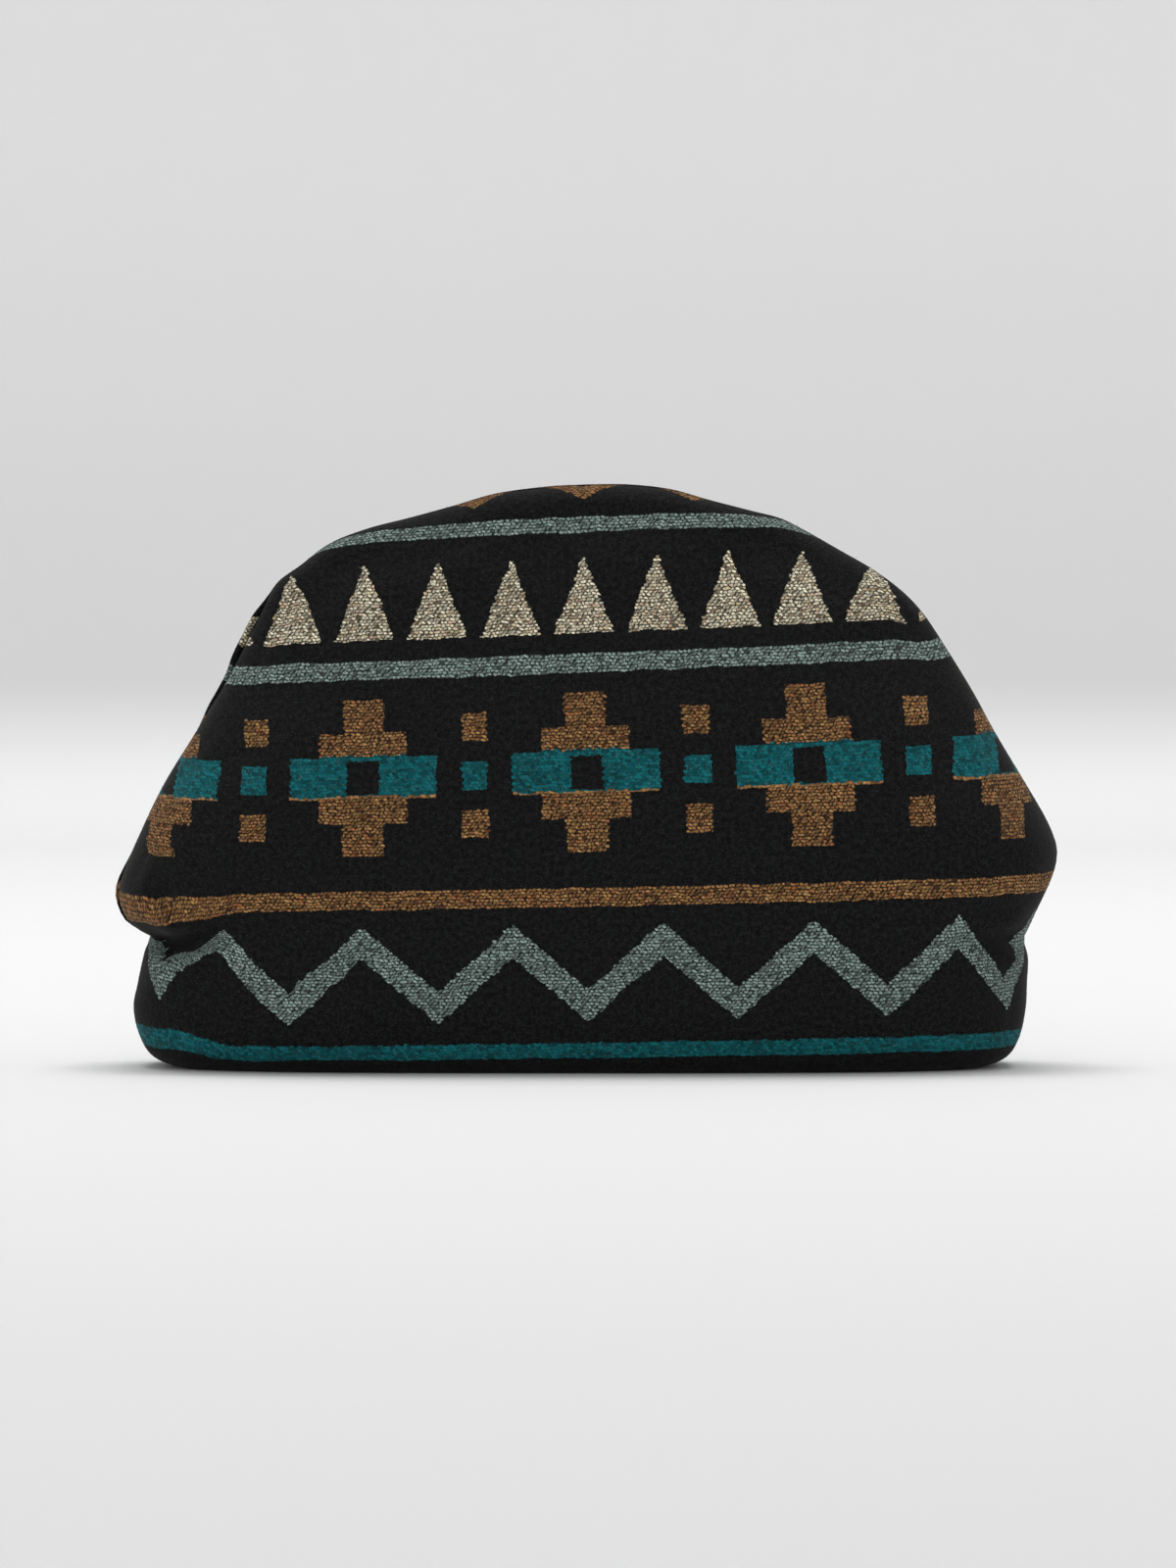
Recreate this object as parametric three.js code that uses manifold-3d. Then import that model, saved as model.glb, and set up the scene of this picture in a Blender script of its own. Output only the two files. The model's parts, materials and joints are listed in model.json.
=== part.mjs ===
// A soft dome-topped clutch bag. Two wool halves are sewn together at the sides and under the base. Each
// half's mouth edge holds a bent steel wire, and the two wires turn on rivets hidden inside the side seams,
// so the mouth opens like a purse frame. Sizes are millimetres. X is the bag's width, Y its depth with the
// front towards -Y, and Z is up from the surface that it stands on.

import * as THREE from 'three';
import { mergeVertices } from 'three/addons/utils/BufferGeometryUtils.js';
import Module from 'manifold-3d';

// Driving sizes of the sewn body
const BAG_WIDTH = 320;
const BAG_HEIGHT = 197;
const BAG_DEPTH = 116;
const WOOL = 2.2;
const LINING = 1;
const FACING = 1.4;
const LINING_SLACK = 1.8;
const MOUTH_GAP = 5.4;
const SEAM_GAP = 0.3;

// Driving sizes of the frame
const HINGE_HEIGHT = 116;
const WIRE = 4;
const WIRE_COVER = 3.3;
const LIP_EASE = 1;
const TANG = 1.6;
const TANG_RISE = 14;
const TANG_SHOULDER = 0.6;
const EYE_RADIUS = 4.4;
const RIVET_SHANK = 3;
const RIVET_HEAD = 6.4;
const RIVET_DOME = 1.1;
const WASHER = 0.8;
const PIN_CLEARANCE = 0.3;

// Driving sizes of the snap, base board and pocket
const SNAP_DIAMETER = 14;
const SNAP_MARGIN = 1;
const FACING_MARGIN = 2.5;
const SNAP_PLATE = 1.2;
const SNAP_BODY = 3.3;
const SNAP_STUD = 5.6;
const SNAP_STUD_LENGTH = 1.9;
const BACKING_PLATE = 0.6;
const PRONG_HOLE = 4;
const BOARD = 2;
const BOARD_MARGIN = 9;
const POCKET_WIDTH = 150;
const POCKET_DEPTH = 80;
const POCKET_CLOTH = 0.9;
const POCKET_TOP = 118;
const FIT = 0.3;

// Fineness of the curved surfaces
const PROFILE_STEPS = 300;
const RING_POINTS = 44;
const WIRE_STEPS = 44;
const ROUND = 22;
const ARCH_STEPS = 15;
const DOME_STEPS = 3;

// Heights of the body's rings, as shares of its height, closer together where the outlines bend
const RING_HEIGHTS = [
  0, 0.02, 0.056, 0.1, 0.15, 0.19, 0.22, 0.258, 0.3, 0.34, 0.375, 0.43, 0.5, 0.58, 0.66, 0.74,
  0.8, 0.85, 0.9, 0.94, 0.97, 0.99, 1,
];

// Outlines of the two sides seen from the front, from the floor to the crown, as shares of half the width
// and of the height. The narrow place at a fifth of the height is the crease over the base.
const LEFT_OUTLINE = [
  [0, 0], [0.86, 0], [0.925, 0.02], [0.96, 0.056], [0.969, 0.1], [0.96, 0.145], [0.942, 0.19],
  [0.936, 0.22], [0.962, 0.243], [0.994, 0.268], [1, 0.3], [0.986, 0.335], [0.956, 0.396],
  [0.898, 0.487], [0.819, 0.589], [0.769, 0.665], [0.725, 0.741], [0.69, 0.795], [0.658, 0.834],
  [0.61, 0.862], [0.55, 0.898], [0.469, 0.926], [0.375, 0.946], [0.281, 0.967], [0.194, 0.985],
  [0.075, 0.997], [0, 1],
];
const RIGHT_OUTLINE = [
  [0, 0], [0.83, 0], [0.894, 0.018], [0.919, 0.05], [0.933, 0.1], [0.934, 0.15], [0.931, 0.19],
  [0.927, 0.222], [0.94, 0.258], [0.969, 0.297], [0.994, 0.34], [1, 0.375], [0.984, 0.416],
  [0.931, 0.492], [0.867, 0.579], [0.819, 0.65], [0.759, 0.728], [0.712, 0.784], [0.672, 0.817],
  [0.609, 0.854], [0.531, 0.891], [0.456, 0.924], [0.406, 0.944], [0.344, 0.956], [0.25, 0.976],
  [0.169, 0.994], [0.08, 1], [0, 1],
];
// Half section through the middle, up from the floor, as shares of half the depth and the height
const SECTION = [
  [0, 0], [0.74, 0], [0.87, 0.018], [0.96, 0.062], [1, 0.14], [1, 0.23], [0.98, 0.31], [0.92, 0.406],
  [0.825, 0.508], [0.735, 0.589], [0.62, 0.67], [0.49, 0.761], [0.365, 0.853],
];
// The section's rounded lip over the wire, as shares of its half thickness and of the wire's depth in it
const LIP_SECTION = [[1.3, 2], [1, 0.95], [0.7, 0.35], [0.245, 0.03], [0, 0]];
// Exponents that round the plan from a soft box at the base to a lens at the crown
const PLAN_LOW = { along: 3.6, across: 2.7 };
const PLAN_HIGH = { along: 2.6, across: 2.3 };

const wasm = await Module();
wasm.setup();
const { Manifold, Mesh } = wasm;

const CLOTH = {
  wool: { color: 0x1b1a19, roughness: 0.95, metalness: 0 },
  woolBack: { color: 0x262220, roughness: 0.95, metalness: 0 },
  lining: { color: 0x2b2a2c, roughness: 0.8, metalness: 0 },
  facing: { color: 0x141414, roughness: 0.85, metalness: 0 },
  pocket: { color: 0x333134, roughness: 0.8, metalness: 0 },
};
const HARD = {
  steel: { color: 0xb9bbbd, roughness: 0.35, metalness: 1 },
  brass: { color: 0xb08a4a, roughness: 0.35, metalness: 1 },
  board: { color: 0x1c1c1d, roughness: 0.6, metalness: 0 },
};

// Solids and their meshes

function solidOf(geometry) {
  const bare = geometry.index ? geometry.toNonIndexed() : geometry.clone();
  bare.deleteAttribute('normal');
  bare.deleteAttribute('uv');
  const merged = mergeVertices(bare, 1e-4);
  const vertProperties = new Float32Array(merged.attributes.position.array);
  const triVerts = new Uint32Array(merged.index.array);
  return new Manifold(new Mesh({ numProp: 3, vertProperties, triVerts }));
}

function namedMesh(name, solid, finish) {
  const found = solid.getMesh();
  const geometry = new THREE.BufferGeometry();
  const position = new Float32Array(found.numVert * 3);
  for (let i = 0; i < found.numVert; i += 1) {
    position.set(found.vertProperties.slice(i * found.numProp, i * found.numProp + 3), i * 3);
  }
  geometry.setAttribute('position', new THREE.BufferAttribute(position, 3));
  geometry.setIndex(new THREE.BufferAttribute(new Uint32Array(found.triVerts), 1));
  geometry.computeVertexNormals();
  const mesh = new THREE.Mesh(geometry, new THREE.MeshStandardMaterial(finish));
  mesh.name = name;
  return mesh;
}

function block(low, high) {
  const size = high.map((h, i) => h - low[i]);
  const middle = high.map((h, i) => (h + low[i]) / 2);
  const geometry = new THREE.BoxGeometry(...size);
  geometry.translate(...middle);
  return solidOf(geometry);
}

// Profiles: a curve of half widths against height, which can be moved inwards by a cloth's thickness

function smooth(low, high, value) {
  const t = Math.min(1, Math.max(0, (value - low) / (high - low)));
  return t * t * (3 - 2 * t);
}

function profileCurve(shares, halfSize, top = []) {
  const points = shares.map(([h, z]) => new THREE.Vector3(h * halfSize, z * BAG_HEIGHT, 0));
  points.push(...top.map(([h, z]) => new THREE.Vector3(h, z, 0)));
  const curve = new THREE.CatmullRomCurve3(points, false, 'centripetal');
  return curve.getSpacedPoints(PROFILE_STEPS).map((p) => new THREE.Vector2(p.x, p.y));
}

// The curve moved inwards along its own normals. The inset may change with the height.
function moveIn(points, insetAt) {
  const last = points.length - 1;
  return points.map((p, i) => {
    const along = points[Math.min(last, i + 1)].clone().sub(points[Math.max(0, i - 1)]).normalize();
    const inset = insetAt(p.y);
    const h = i === 0 || i === last ? 0 : p.x - along.y * inset;
    const ends = i === last ? -inset : inset;
    const z = i === 0 || i === last ? p.y + ends : p.y + along.x * inset;
    return new THREE.Vector2(h, z);
  });
}

// Half width at a height, taken as the widest crossing of the curve with that height
function halfAt(points, z) {
  let widest = 0;
  for (let i = 1; i < points.length; i += 1) {
    const a = points[i - 1];
    const b = points[i];
    if ((a.y - z) * (b.y - z) <= 0 && a.y !== b.y) {
      const h = a.x + ((b.x - a.x) * (z - a.y)) / (b.y - a.y);
      widest = Math.max(widest, h);
    }
  }
  return widest;
}

// Half thickness of the closed mouth, which holds a facing, a wire and the wool on each side of the gap
const WIRE_INSET = WOOL + WIRE_COVER + WIRE / 2;
const WIRE_LINE = MOUTH_GAP / 2 + FACING + FIT + WIRE / 2;
const LIP = WIRE_LINE + WIRE / 2 + FIT + WOOL + LIP_EASE;
const LIP_TOP = LIP_SECTION.map(([h, drop]) => [h * LIP, BAG_HEIGHT - drop * WIRE_INSET]);

const LEFT = profileCurve(LEFT_OUTLINE, BAG_WIDTH / 2);
const RIGHT = profileCurve(RIGHT_OUTLINE, BAG_WIDTH / 2);
const DEPTH = profileCurve(SECTION, BAG_DEPTH / 2, LIP_TOP);

// The sewn body's closed form, with its sides and its front and back moved inwards

function planPoint(left, right, depth, share, turn) {
  const along = PLAN_LOW.along + (PLAN_HIGH.along - PLAN_LOW.along) * share;
  const across = PLAN_LOW.across + (PLAN_HIGH.across - PLAN_LOW.across) * share;
  const c = Math.cos(turn);
  const s = Math.sin(turn);
  const x = Math.sign(c) * Math.abs(c) ** (2 / along);
  const y = Math.sign(s) * Math.abs(s) ** (2 / across);
  return [x * (x < 0 ? left : right), y * depth];
}

// The lip keeps its rounded thickness all along the mouth, where the plan alone would run to an edge
function lipDepth(fromEdge, inset) {
  const reach = WIRE_INSET - inset;
  const thick = LIP - inset;
  if (reach <= 0 || thick <= 0) {
    return 0;
  }
  const t = 1 - Math.min(1, fromEdge / reach);
  return thick * Math.sqrt(1 - t * t);
}

function bodyForm(insetSides, insetDepth, top) {
  const left = moveIn(LEFT, insetSides);
  const right = moveIn(RIGHT, insetSides);
  const depth = moveIn(DEPTH, insetDepth);
  const foot = Math.max(left[0].y, right[0].y, depth[0].y);
  const crown = Math.min(top, left[left.length - 1].y, right[right.length - 1].y);
  const rings = [];
  for (const share of RING_HEIGHTS) {
    const z = foot + (crown - foot) * share;
    const inside = Math.min(crown - 0.05, Math.max(foot + 0.02, z));
    const widths = [left, right, depth].map((points) => Math.max(0.4, halfAt(points, inside)));
    const ring = [];
    for (let j = 0; j < RING_POINTS; j += 1) {
      const turn = ((j + 0.5) / RING_POINTS) * 2 * Math.PI;
      const [x, y] = planPoint(...widths, z / BAG_HEIGHT, turn);
      const fromEdge = widths[x < 0 ? 0 : 1] - Math.abs(x);
      const lip = lipDepth(fromEdge, insetDepth(z));
      ring.push([x, Math.sign(y) * Math.min(widths[2], Math.max(Math.abs(y), lip)), z]);
    }
    rings.push(ring);
  }
  return solidOf(skinRings(rings));
}

function skinRings(rings) {
  const position = [];
  const face = (...corners) => corners.forEach((corner) => position.push(...corner));
  const count = rings[0].length;
  for (let i = 0; i < rings.length - 1; i += 1) {
    for (let j = 0; j < count; j += 1) {
      const k = (j + 1) % count;
      face(rings[i][j], rings[i][k], rings[i + 1][k]);
      face(rings[i][j], rings[i + 1][k], rings[i + 1][j]);
    }
  }
  const low = rings[0];
  const high = rings[rings.length - 1];
  for (let j = 0; j < count; j += 1) {
    const k = (j + 1) % count;
    face([0, 0, low[0][2]], low[k], low[j]);
    face([0, 0, high[0][2]], high[j], high[k]);
  }
  const geometry = new THREE.BufferGeometry();
  geometry.setAttribute('position', new THREE.Float32BufferAttribute(position, 3));
  return geometry;
}

// One side of the bag: the front half has y below zero, the back half above it
const FAR = 2 * (BAG_WIDTH + BAG_HEIGHT + BAG_DEPTH);

function half(side, from) {
  const low = side < 0 ? -FAR : from;
  const high = side < 0 ? -from : FAR;
  return block([-FAR, low, -FAR], [FAR, high, FAR]);
}

// The slot that parts the two halves along the mouth, down to a height near the hinges
function mouthSlot(halfGap, foot) {
  return block([-FAR, -halfGap, foot], [FAR, halfGap, FAR]);
}

// The arch that the mouth follows, a chosen distance inside the narrower side, and alike on both sides

function archPoints(inset, footHeight) {
  const sides = [LEFT, RIGHT].map((points) => moveIn(points, () => inset));
  const crown = Math.min(...sides.map((points) => points[points.length - 1].y));
  const reach = Math.min(...sides.map((points) => halfAt(points, footHeight)));
  const points = [];
  for (let i = 0; i <= ARCH_STEPS; i += 1) {
    const turn = (i / ARCH_STEPS) * (Math.PI / 2);
    const x = reach * Math.cos(turn);
    const heights = sides.map((side) => heightAt(side, x, crown));
    points.push(new THREE.Vector2(x, i === 0 ? footHeight : Math.min(...heights)));
  }
  return points;
}

// Greatest height at which the curve passes this half width
function heightAt(points, x, crown) {
  let highest = 0;
  for (let i = 1; i < points.length; i += 1) {
    const a = points[i - 1];
    const b = points[i];
    if ((a.x - x) * (b.x - x) <= 0 && a.x !== b.x) {
      highest = Math.max(highest, a.y + ((b.y - a.y) * (x - a.x)) / (b.x - a.x));
    }
  }
  return x < 1 ? crown : Math.min(highest, crown);
}

const FACING_WIDTH = WIRE_INSET + WIRE / 2 + SNAP_MARGIN + SNAP_DIAMETER + FACING_MARGIN;
const TANG_TOP = HINGE_HEIGHT + TANG_RISE;
const WIRE_ARCH = archPoints(WIRE_INSET, TANG_TOP);
const HINGE_REACH = WIRE_ARCH[0].x;
const TANG_OFFSET = TANG / 2 + PIN_CLEARANCE + WASHER / 2;

// Cloth pieces

const WOOL_OUTSIDE = bodyForm(() => 0, () => 0, BAG_HEIGHT);
const WOOL_INSIDE = bodyForm(() => WOOL, () => WOOL, BAG_HEIGHT);
const SLOT_FOOT = HINGE_HEIGHT + EYE_RADIUS;
const FACING_FOOT = TANG_TOP + EYE_RADIUS;

function woolHalf(side) {
  const shell = WOOL_OUTSIDE.subtract(WOOL_INSIDE);
  const open = shell.subtract(mouthSlot(MOUTH_GAP / 2, SLOT_FOOT));
  return open.intersect(half(side, SEAM_GAP / 2));
}

// The strip inside the mouth that shuts the channel of the wire
function mouthFacing(side) {
  const room = bodyForm(() => WOOL + FIT, () => WOOL + FIT, BAG_HEIGHT);
  const near = side * (MOUTH_GAP / 2);
  const far = side * (MOUTH_GAP / 2 + FACING);
  const sheet = block([-FAR, Math.min(near, far), FACING_FOOT], [FAR, Math.max(near, far), FAR]);
  const inner = archPoints(FACING_WIDTH, FACING_FOOT - FACING_WIDTH);
  const outline = [...inner, ...inner.slice(0, -1).reverse().map((p) => new THREE.Vector2(-p.x, p.y))];
  const shape = new THREE.Shape(outline);
  const geometry = new THREE.ExtrudeGeometry(shape, { depth: 2 * BAG_DEPTH, bevelEnabled: false });
  geometry.rotateX(Math.PI / 2);
  geometry.translate(0, BAG_DEPTH, 0);
  return room.intersect(sheet).subtract(solidOf(geometry));
}

// The lining hangs from the facings. It passes inside the hinges, and under it lies the base board.
const LINING_INSET = WOOL + FIT + BOARD + FIT;
const LINING_NECK = HINGE_HEIGHT - RIVET_HEAD;
const LINING_WAIST = LINING_NECK - FACING_WIDTH;
const LINING_TOP = BAG_HEIGHT - FACING_WIDTH;

// The lining's distance inside the bag's outline at a height, on its way to what it has at the mouth
function liningInset(z, atMouth, mouthHeight) {
  const wall = LINING_INSET + LINING_SLACK * smooth(0, LINING, z);
  return wall + (atMouth - wall) * smooth(LINING_WAIST, mouthHeight, z);
}

function liningSides(extra) {
  return (z) => extra + liningInset(z, FACING_WIDTH + FIT, LINING_NECK);
}

function liningDepth(extra) {
  const atMouth = halfAt(DEPTH, LINING_TOP) - MOUTH_GAP / 2 - FACING - LINING - FIT;
  return (z) => extra + liningInset(z, atMouth, LINING_TOP);
}

const LINING_OUTSIDE = bodyForm(liningSides(0), liningDepth(0), LINING_TOP);
const LINING_INSIDE = bodyForm(liningSides(LINING), liningDepth(LINING), LINING_TOP);

function liningHalf(side) {
  const shell = LINING_OUTSIDE.subtract(LINING_INSIDE);
  const gap = MOUTH_GAP / 2 + FACING + FIT;
  const open = shell.subtract(mouthSlot(gap, LINING_NECK));
  return open.intersect(half(side, SEAM_GAP / 2));
}

// A slip pocket sewn flat on the back lining
function slipPocket() {
  const outside = bodyForm(liningSides(LINING + FIT), liningDepth(LINING + FIT), LINING_TOP);
  const inset = LINING + FIT + POCKET_CLOTH;
  const inside = bodyForm(liningSides(inset), liningDepth(inset), LINING_TOP);
  const low = [-POCKET_WIDTH / 2, 0, POCKET_TOP - POCKET_DEPTH];
  const high = [POCKET_WIDTH / 2, FAR, POCKET_TOP];
  return outside.subtract(inside).intersect(block(low, high));
}

function baseBoard() {
  const foot = WOOL + FIT;
  const left = halfAt(moveIn(LEFT, () => WOOL), foot + BOARD) - BOARD_MARGIN;
  const right = halfAt(moveIn(RIGHT, () => WOOL), foot + BOARD) - BOARD_MARGIN;
  const depth = halfAt(moveIn(DEPTH, () => WOOL), foot + BOARD) - BOARD_MARGIN;
  const outline = [];
  for (let j = 0; j < RING_POINTS; j += 1) {
    const turn = ((j + 0.5) / RING_POINTS) * 2 * Math.PI;
    outline.push(new THREE.Vector2(...planPoint(left, right, depth, 0, turn)));
  }
  const geometry = new THREE.ExtrudeGeometry(new THREE.Shape(outline), { depth: BOARD, bevelEnabled: false });
  geometry.translate(0, 0, foot);
  return solidOf(geometry);
}

// Frame wires: round wire along the arch, with each end joggled into a flat tang that has a rivet eye

function tangOffset(side) {
  return side < 0 ? TANG_OFFSET : -TANG_OFFSET;
}

function wireSolid(side) {
  const y = side * WIRE_LINE;
  const foot = WIRE_ARCH[0];
  const end = new THREE.Vector3(foot.x + tangOffset(side), y, foot.y - WIRE / 2);
  const right = WIRE_ARCH.slice(1).map((p) => new THREE.Vector3(p.x, y, p.y));
  const left = right.slice(0, -1).reverse().map((p) => new THREE.Vector3(-p.x, y, p.z));
  const path = new THREE.CatmullRomCurve3([end, ...right, ...left, new THREE.Vector3(-end.x, y, end.z)]);
  const section = new THREE.Shape();
  section.absarc(0, 0, WIRE / 2, 0, 2 * Math.PI, false);
  const options = { steps: WIRE_STEPS, curveSegments: 4, bevelEnabled: false, extrudePath: path };
  return solidOf(new THREE.ExtrudeGeometry(section, options));
}

// An outline round two circles and the two lines that touch both
function linkShape(a, radiusA, b, radiusB) {
  const apart = b.clone().sub(a);
  const facing = Math.atan2(apart.y, apart.x);
  const open = Math.acos((radiusA - radiusB) / apart.length());
  const shape = new THREE.Shape();
  shape.absarc(a.x, a.y, radiusA, facing + open, facing - open + 2 * Math.PI, false);
  shape.absarc(b.x, b.y, radiusB, facing - open, facing + open, false);
  return shape;
}

const TO_X = new THREE.Matrix4().makeBasis(
  new THREE.Vector3(0, 1, 0),
  new THREE.Vector3(0, 0, 1),
  new THREE.Vector3(1, 0, 0),
);

function tang(side, x) {
  const eye = new THREE.Vector2(0, HINGE_HEIGHT);
  const neck = new THREE.Vector2(side * WIRE_LINE, TANG_TOP - WIRE / 2);
  const shape = linkShape(eye, EYE_RADIUS, neck, WIRE / 2 + TANG_SHOULDER);
  const hole = new THREE.Path();
  hole.absarc(eye.x, eye.y, RIVET_SHANK / 2 + PIN_CLEARANCE, 0, 2 * Math.PI, false);
  shape.holes.push(hole);
  const options = { depth: TANG, curveSegments: ROUND / 2, bevelEnabled: false };
  const geometry = new THREE.ExtrudeGeometry(shape, options);
  geometry.applyMatrix4(TO_X);
  geometry.translate(x - TANG / 2, 0, 0);
  return solidOf(geometry);
}

function frameWire(side) {
  const x = HINGE_REACH + tangOffset(side);
  return wireSolid(side).add(tang(side, x)).add(tang(side, -x));
}

// Turned pieces, drawn as a half section and spun

function turned(profile, toWorld, at) {
  const points = profile.map(([r, h]) => new THREE.Vector2(r, h));
  const geometry = new THREE.LatheGeometry(points, ROUND);
  geometry.applyMatrix4(toWorld);
  geometry.translate(...at);
  return solidOf(geometry);
}

const SPUN_ON_X = new THREE.Matrix4().makeRotationZ(-Math.PI / 2);
const SPUN_ON_Y = new THREE.Matrix4();

function rivet(sign) {
  const seat = TANG_OFFSET + TANG / 2 + PIN_CLEARANCE;
  const shank = RIVET_SHANK / 2;
  const head = RIVET_HEAD / 2;
  const dome = [];
  for (let i = 0; i <= DOME_STEPS; i += 1) {
    const turn = (i / DOME_STEPS) * (Math.PI / 2);
    dome.push([i === DOME_STEPS ? 0 : head * Math.cos(turn), seat + RIVET_DOME * Math.sin(turn)]);
  }
  const under = [...dome].reverse().map(([r, h]) => [r, -h]);
  const profile = [...under, [shank, -seat], [shank, seat], ...dome];
  return turned(profile, SPUN_ON_X, [sign * HINGE_REACH, 0, HINGE_HEIGHT]);
}

function hingeWasher(sign) {
  const inner = RIVET_SHANK / 2 + PIN_CLEARANCE;
  const outer = EYE_RADIUS;
  const h = WASHER / 2;
  const profile = [[inner, -h], [outer, -h], [outer, h], [inner, h], [inner, -h]];
  return turned(profile, SPUN_ON_X, [sign * HINGE_REACH, 0, HINGE_HEIGHT]);
}

// Magnetic snap: a stud half on the front facing and a socket half on the back facing

const SNAP_HEIGHT = BAG_HEIGHT - WIRE_INSET - WIRE / 2 - SNAP_MARGIN - SNAP_DIAMETER / 2;
const SNAP_SEAT = MOUTH_GAP / 2 - FIT / 2;
const SNAP_EDGE = 0.4;

function snapStud() {
  const r = SNAP_DIAMETER / 2;
  const stud = SNAP_STUD / 2;
  const tip = SNAP_PLATE + SNAP_STUD_LENGTH;
  const profile = [
    [0, 0], [r, 0], [r, SNAP_PLATE - SNAP_EDGE], [r - SNAP_EDGE, SNAP_PLATE], [stud, SNAP_PLATE],
    [stud, tip - SNAP_EDGE], [stud - SNAP_EDGE, tip], [0, tip],
  ];
  return turned(profile, SPUN_ON_Y, [0, -SNAP_SEAT, SNAP_HEIGHT]);
}

function snapSocket() {
  const r = SNAP_DIAMETER / 2;
  const hole = SNAP_STUD / 2 + 2 * PIN_CLEARANCE;
  const floor = SNAP_BODY - SNAP_STUD_LENGTH - FIT;
  const profile = [
    [0, 0], [r, 0], [r, -SNAP_BODY + SNAP_EDGE], [r - SNAP_EDGE, -SNAP_BODY],
    [hole + SNAP_EDGE, -SNAP_BODY], [hole, -SNAP_BODY + SNAP_EDGE], [hole, -floor], [0, -floor],
  ].reverse();
  return turned(profile, SPUN_ON_Y, [0, SNAP_SEAT, SNAP_HEIGHT]);
}

function backingPlate(side) {
  const face = MOUTH_GAP / 2 + FACING + FIT;
  const low = side < 0 ? -face - BACKING_PLATE : face;
  const r = SNAP_DIAMETER / 2;
  const hole = PRONG_HOLE / 2;
  const h = BACKING_PLATE;
  const profile = [[hole, 0], [r, 0], [r, h], [hole, h], [hole, 0]];
  return turned(profile, SPUN_ON_Y, [0, low, SNAP_HEIGHT]);
}

const clutch = new THREE.Group();
clutch.add(namedMesh('front_shell', woolHalf(-1), CLOTH.wool));
clutch.add(namedMesh('back_shell', woolHalf(1), CLOTH.woolBack));
clutch.add(namedMesh('front_lining', liningHalf(-1), CLOTH.lining));
clutch.add(namedMesh('back_lining', liningHalf(1), CLOTH.lining));
clutch.add(namedMesh('front_facing', mouthFacing(-1), CLOTH.facing));
clutch.add(namedMesh('back_facing', mouthFacing(1), CLOTH.facing));
clutch.add(namedMesh('slip_pocket', slipPocket(), CLOTH.pocket));
clutch.add(namedMesh('base_board', baseBoard(), HARD.board));
clutch.add(namedMesh('front_frame_wire', frameWire(-1), HARD.steel));
clutch.add(namedMesh('back_frame_wire', frameWire(1), HARD.steel));
for (const [word, sign] of [['left', -1], ['right', 1]]) {
  clutch.add(namedMesh(`${word}_rivet`, rivet(sign), HARD.steel));
  clutch.add(namedMesh(`${word}_hinge_washer`, hingeWasher(sign), HARD.steel));
}
clutch.add(namedMesh('snap_stud', snapStud(), HARD.brass));
clutch.add(namedMesh('snap_socket', snapSocket(), HARD.brass));
clutch.add(namedMesh('stud_backing_plate', backingPlate(-1), HARD.steel));
clutch.add(namedMesh('socket_backing_plate', backingPlate(1), HARD.steel));

export default clutch;
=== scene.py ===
# %% [markdown]
# This lesson rebuilds a soft wool clutch bag with a domed top. Its hard parts, which are the
# bent frame wires, rivets, snap and base board, come from a CAD model in the same frame.
# Everything made of cloth is made here, because cloth needs soft forms, seams and a nap.
# All sizes are in metres, with Z up and the front of the bag facing -Y.

import json
import math

import bmesh
import bpy
import numpy as np
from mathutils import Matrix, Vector

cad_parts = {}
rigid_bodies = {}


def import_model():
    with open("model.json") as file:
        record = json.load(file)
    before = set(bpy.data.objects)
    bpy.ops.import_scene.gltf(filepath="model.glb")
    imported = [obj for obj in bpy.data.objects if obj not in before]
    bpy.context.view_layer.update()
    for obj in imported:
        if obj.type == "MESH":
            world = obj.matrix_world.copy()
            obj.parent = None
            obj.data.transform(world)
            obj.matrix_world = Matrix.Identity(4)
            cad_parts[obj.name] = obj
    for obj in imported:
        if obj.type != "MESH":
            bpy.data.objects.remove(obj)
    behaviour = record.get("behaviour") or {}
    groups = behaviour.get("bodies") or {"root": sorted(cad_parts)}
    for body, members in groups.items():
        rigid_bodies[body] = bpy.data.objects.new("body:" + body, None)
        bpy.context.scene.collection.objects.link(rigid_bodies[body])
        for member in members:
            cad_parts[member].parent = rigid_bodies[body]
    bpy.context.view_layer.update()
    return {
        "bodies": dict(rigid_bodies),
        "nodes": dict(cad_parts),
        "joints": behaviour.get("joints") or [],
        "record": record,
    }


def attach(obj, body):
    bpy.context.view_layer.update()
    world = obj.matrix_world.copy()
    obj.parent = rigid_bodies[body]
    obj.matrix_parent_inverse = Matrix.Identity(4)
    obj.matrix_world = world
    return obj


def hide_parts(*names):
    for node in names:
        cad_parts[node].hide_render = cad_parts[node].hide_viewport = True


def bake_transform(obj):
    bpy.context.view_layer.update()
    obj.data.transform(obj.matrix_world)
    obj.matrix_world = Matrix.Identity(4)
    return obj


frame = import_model()
scene = bpy.context.scene
MM = 0.001

# %% [markdown]
# A photograph of a small object is taken with a long lens from far away, so that lines stay
# level. One pixel of the picture is a third of a millimetre at the bag, so the picture is
# 400 mm wide there. The camera looks down by only two degrees.

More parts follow.
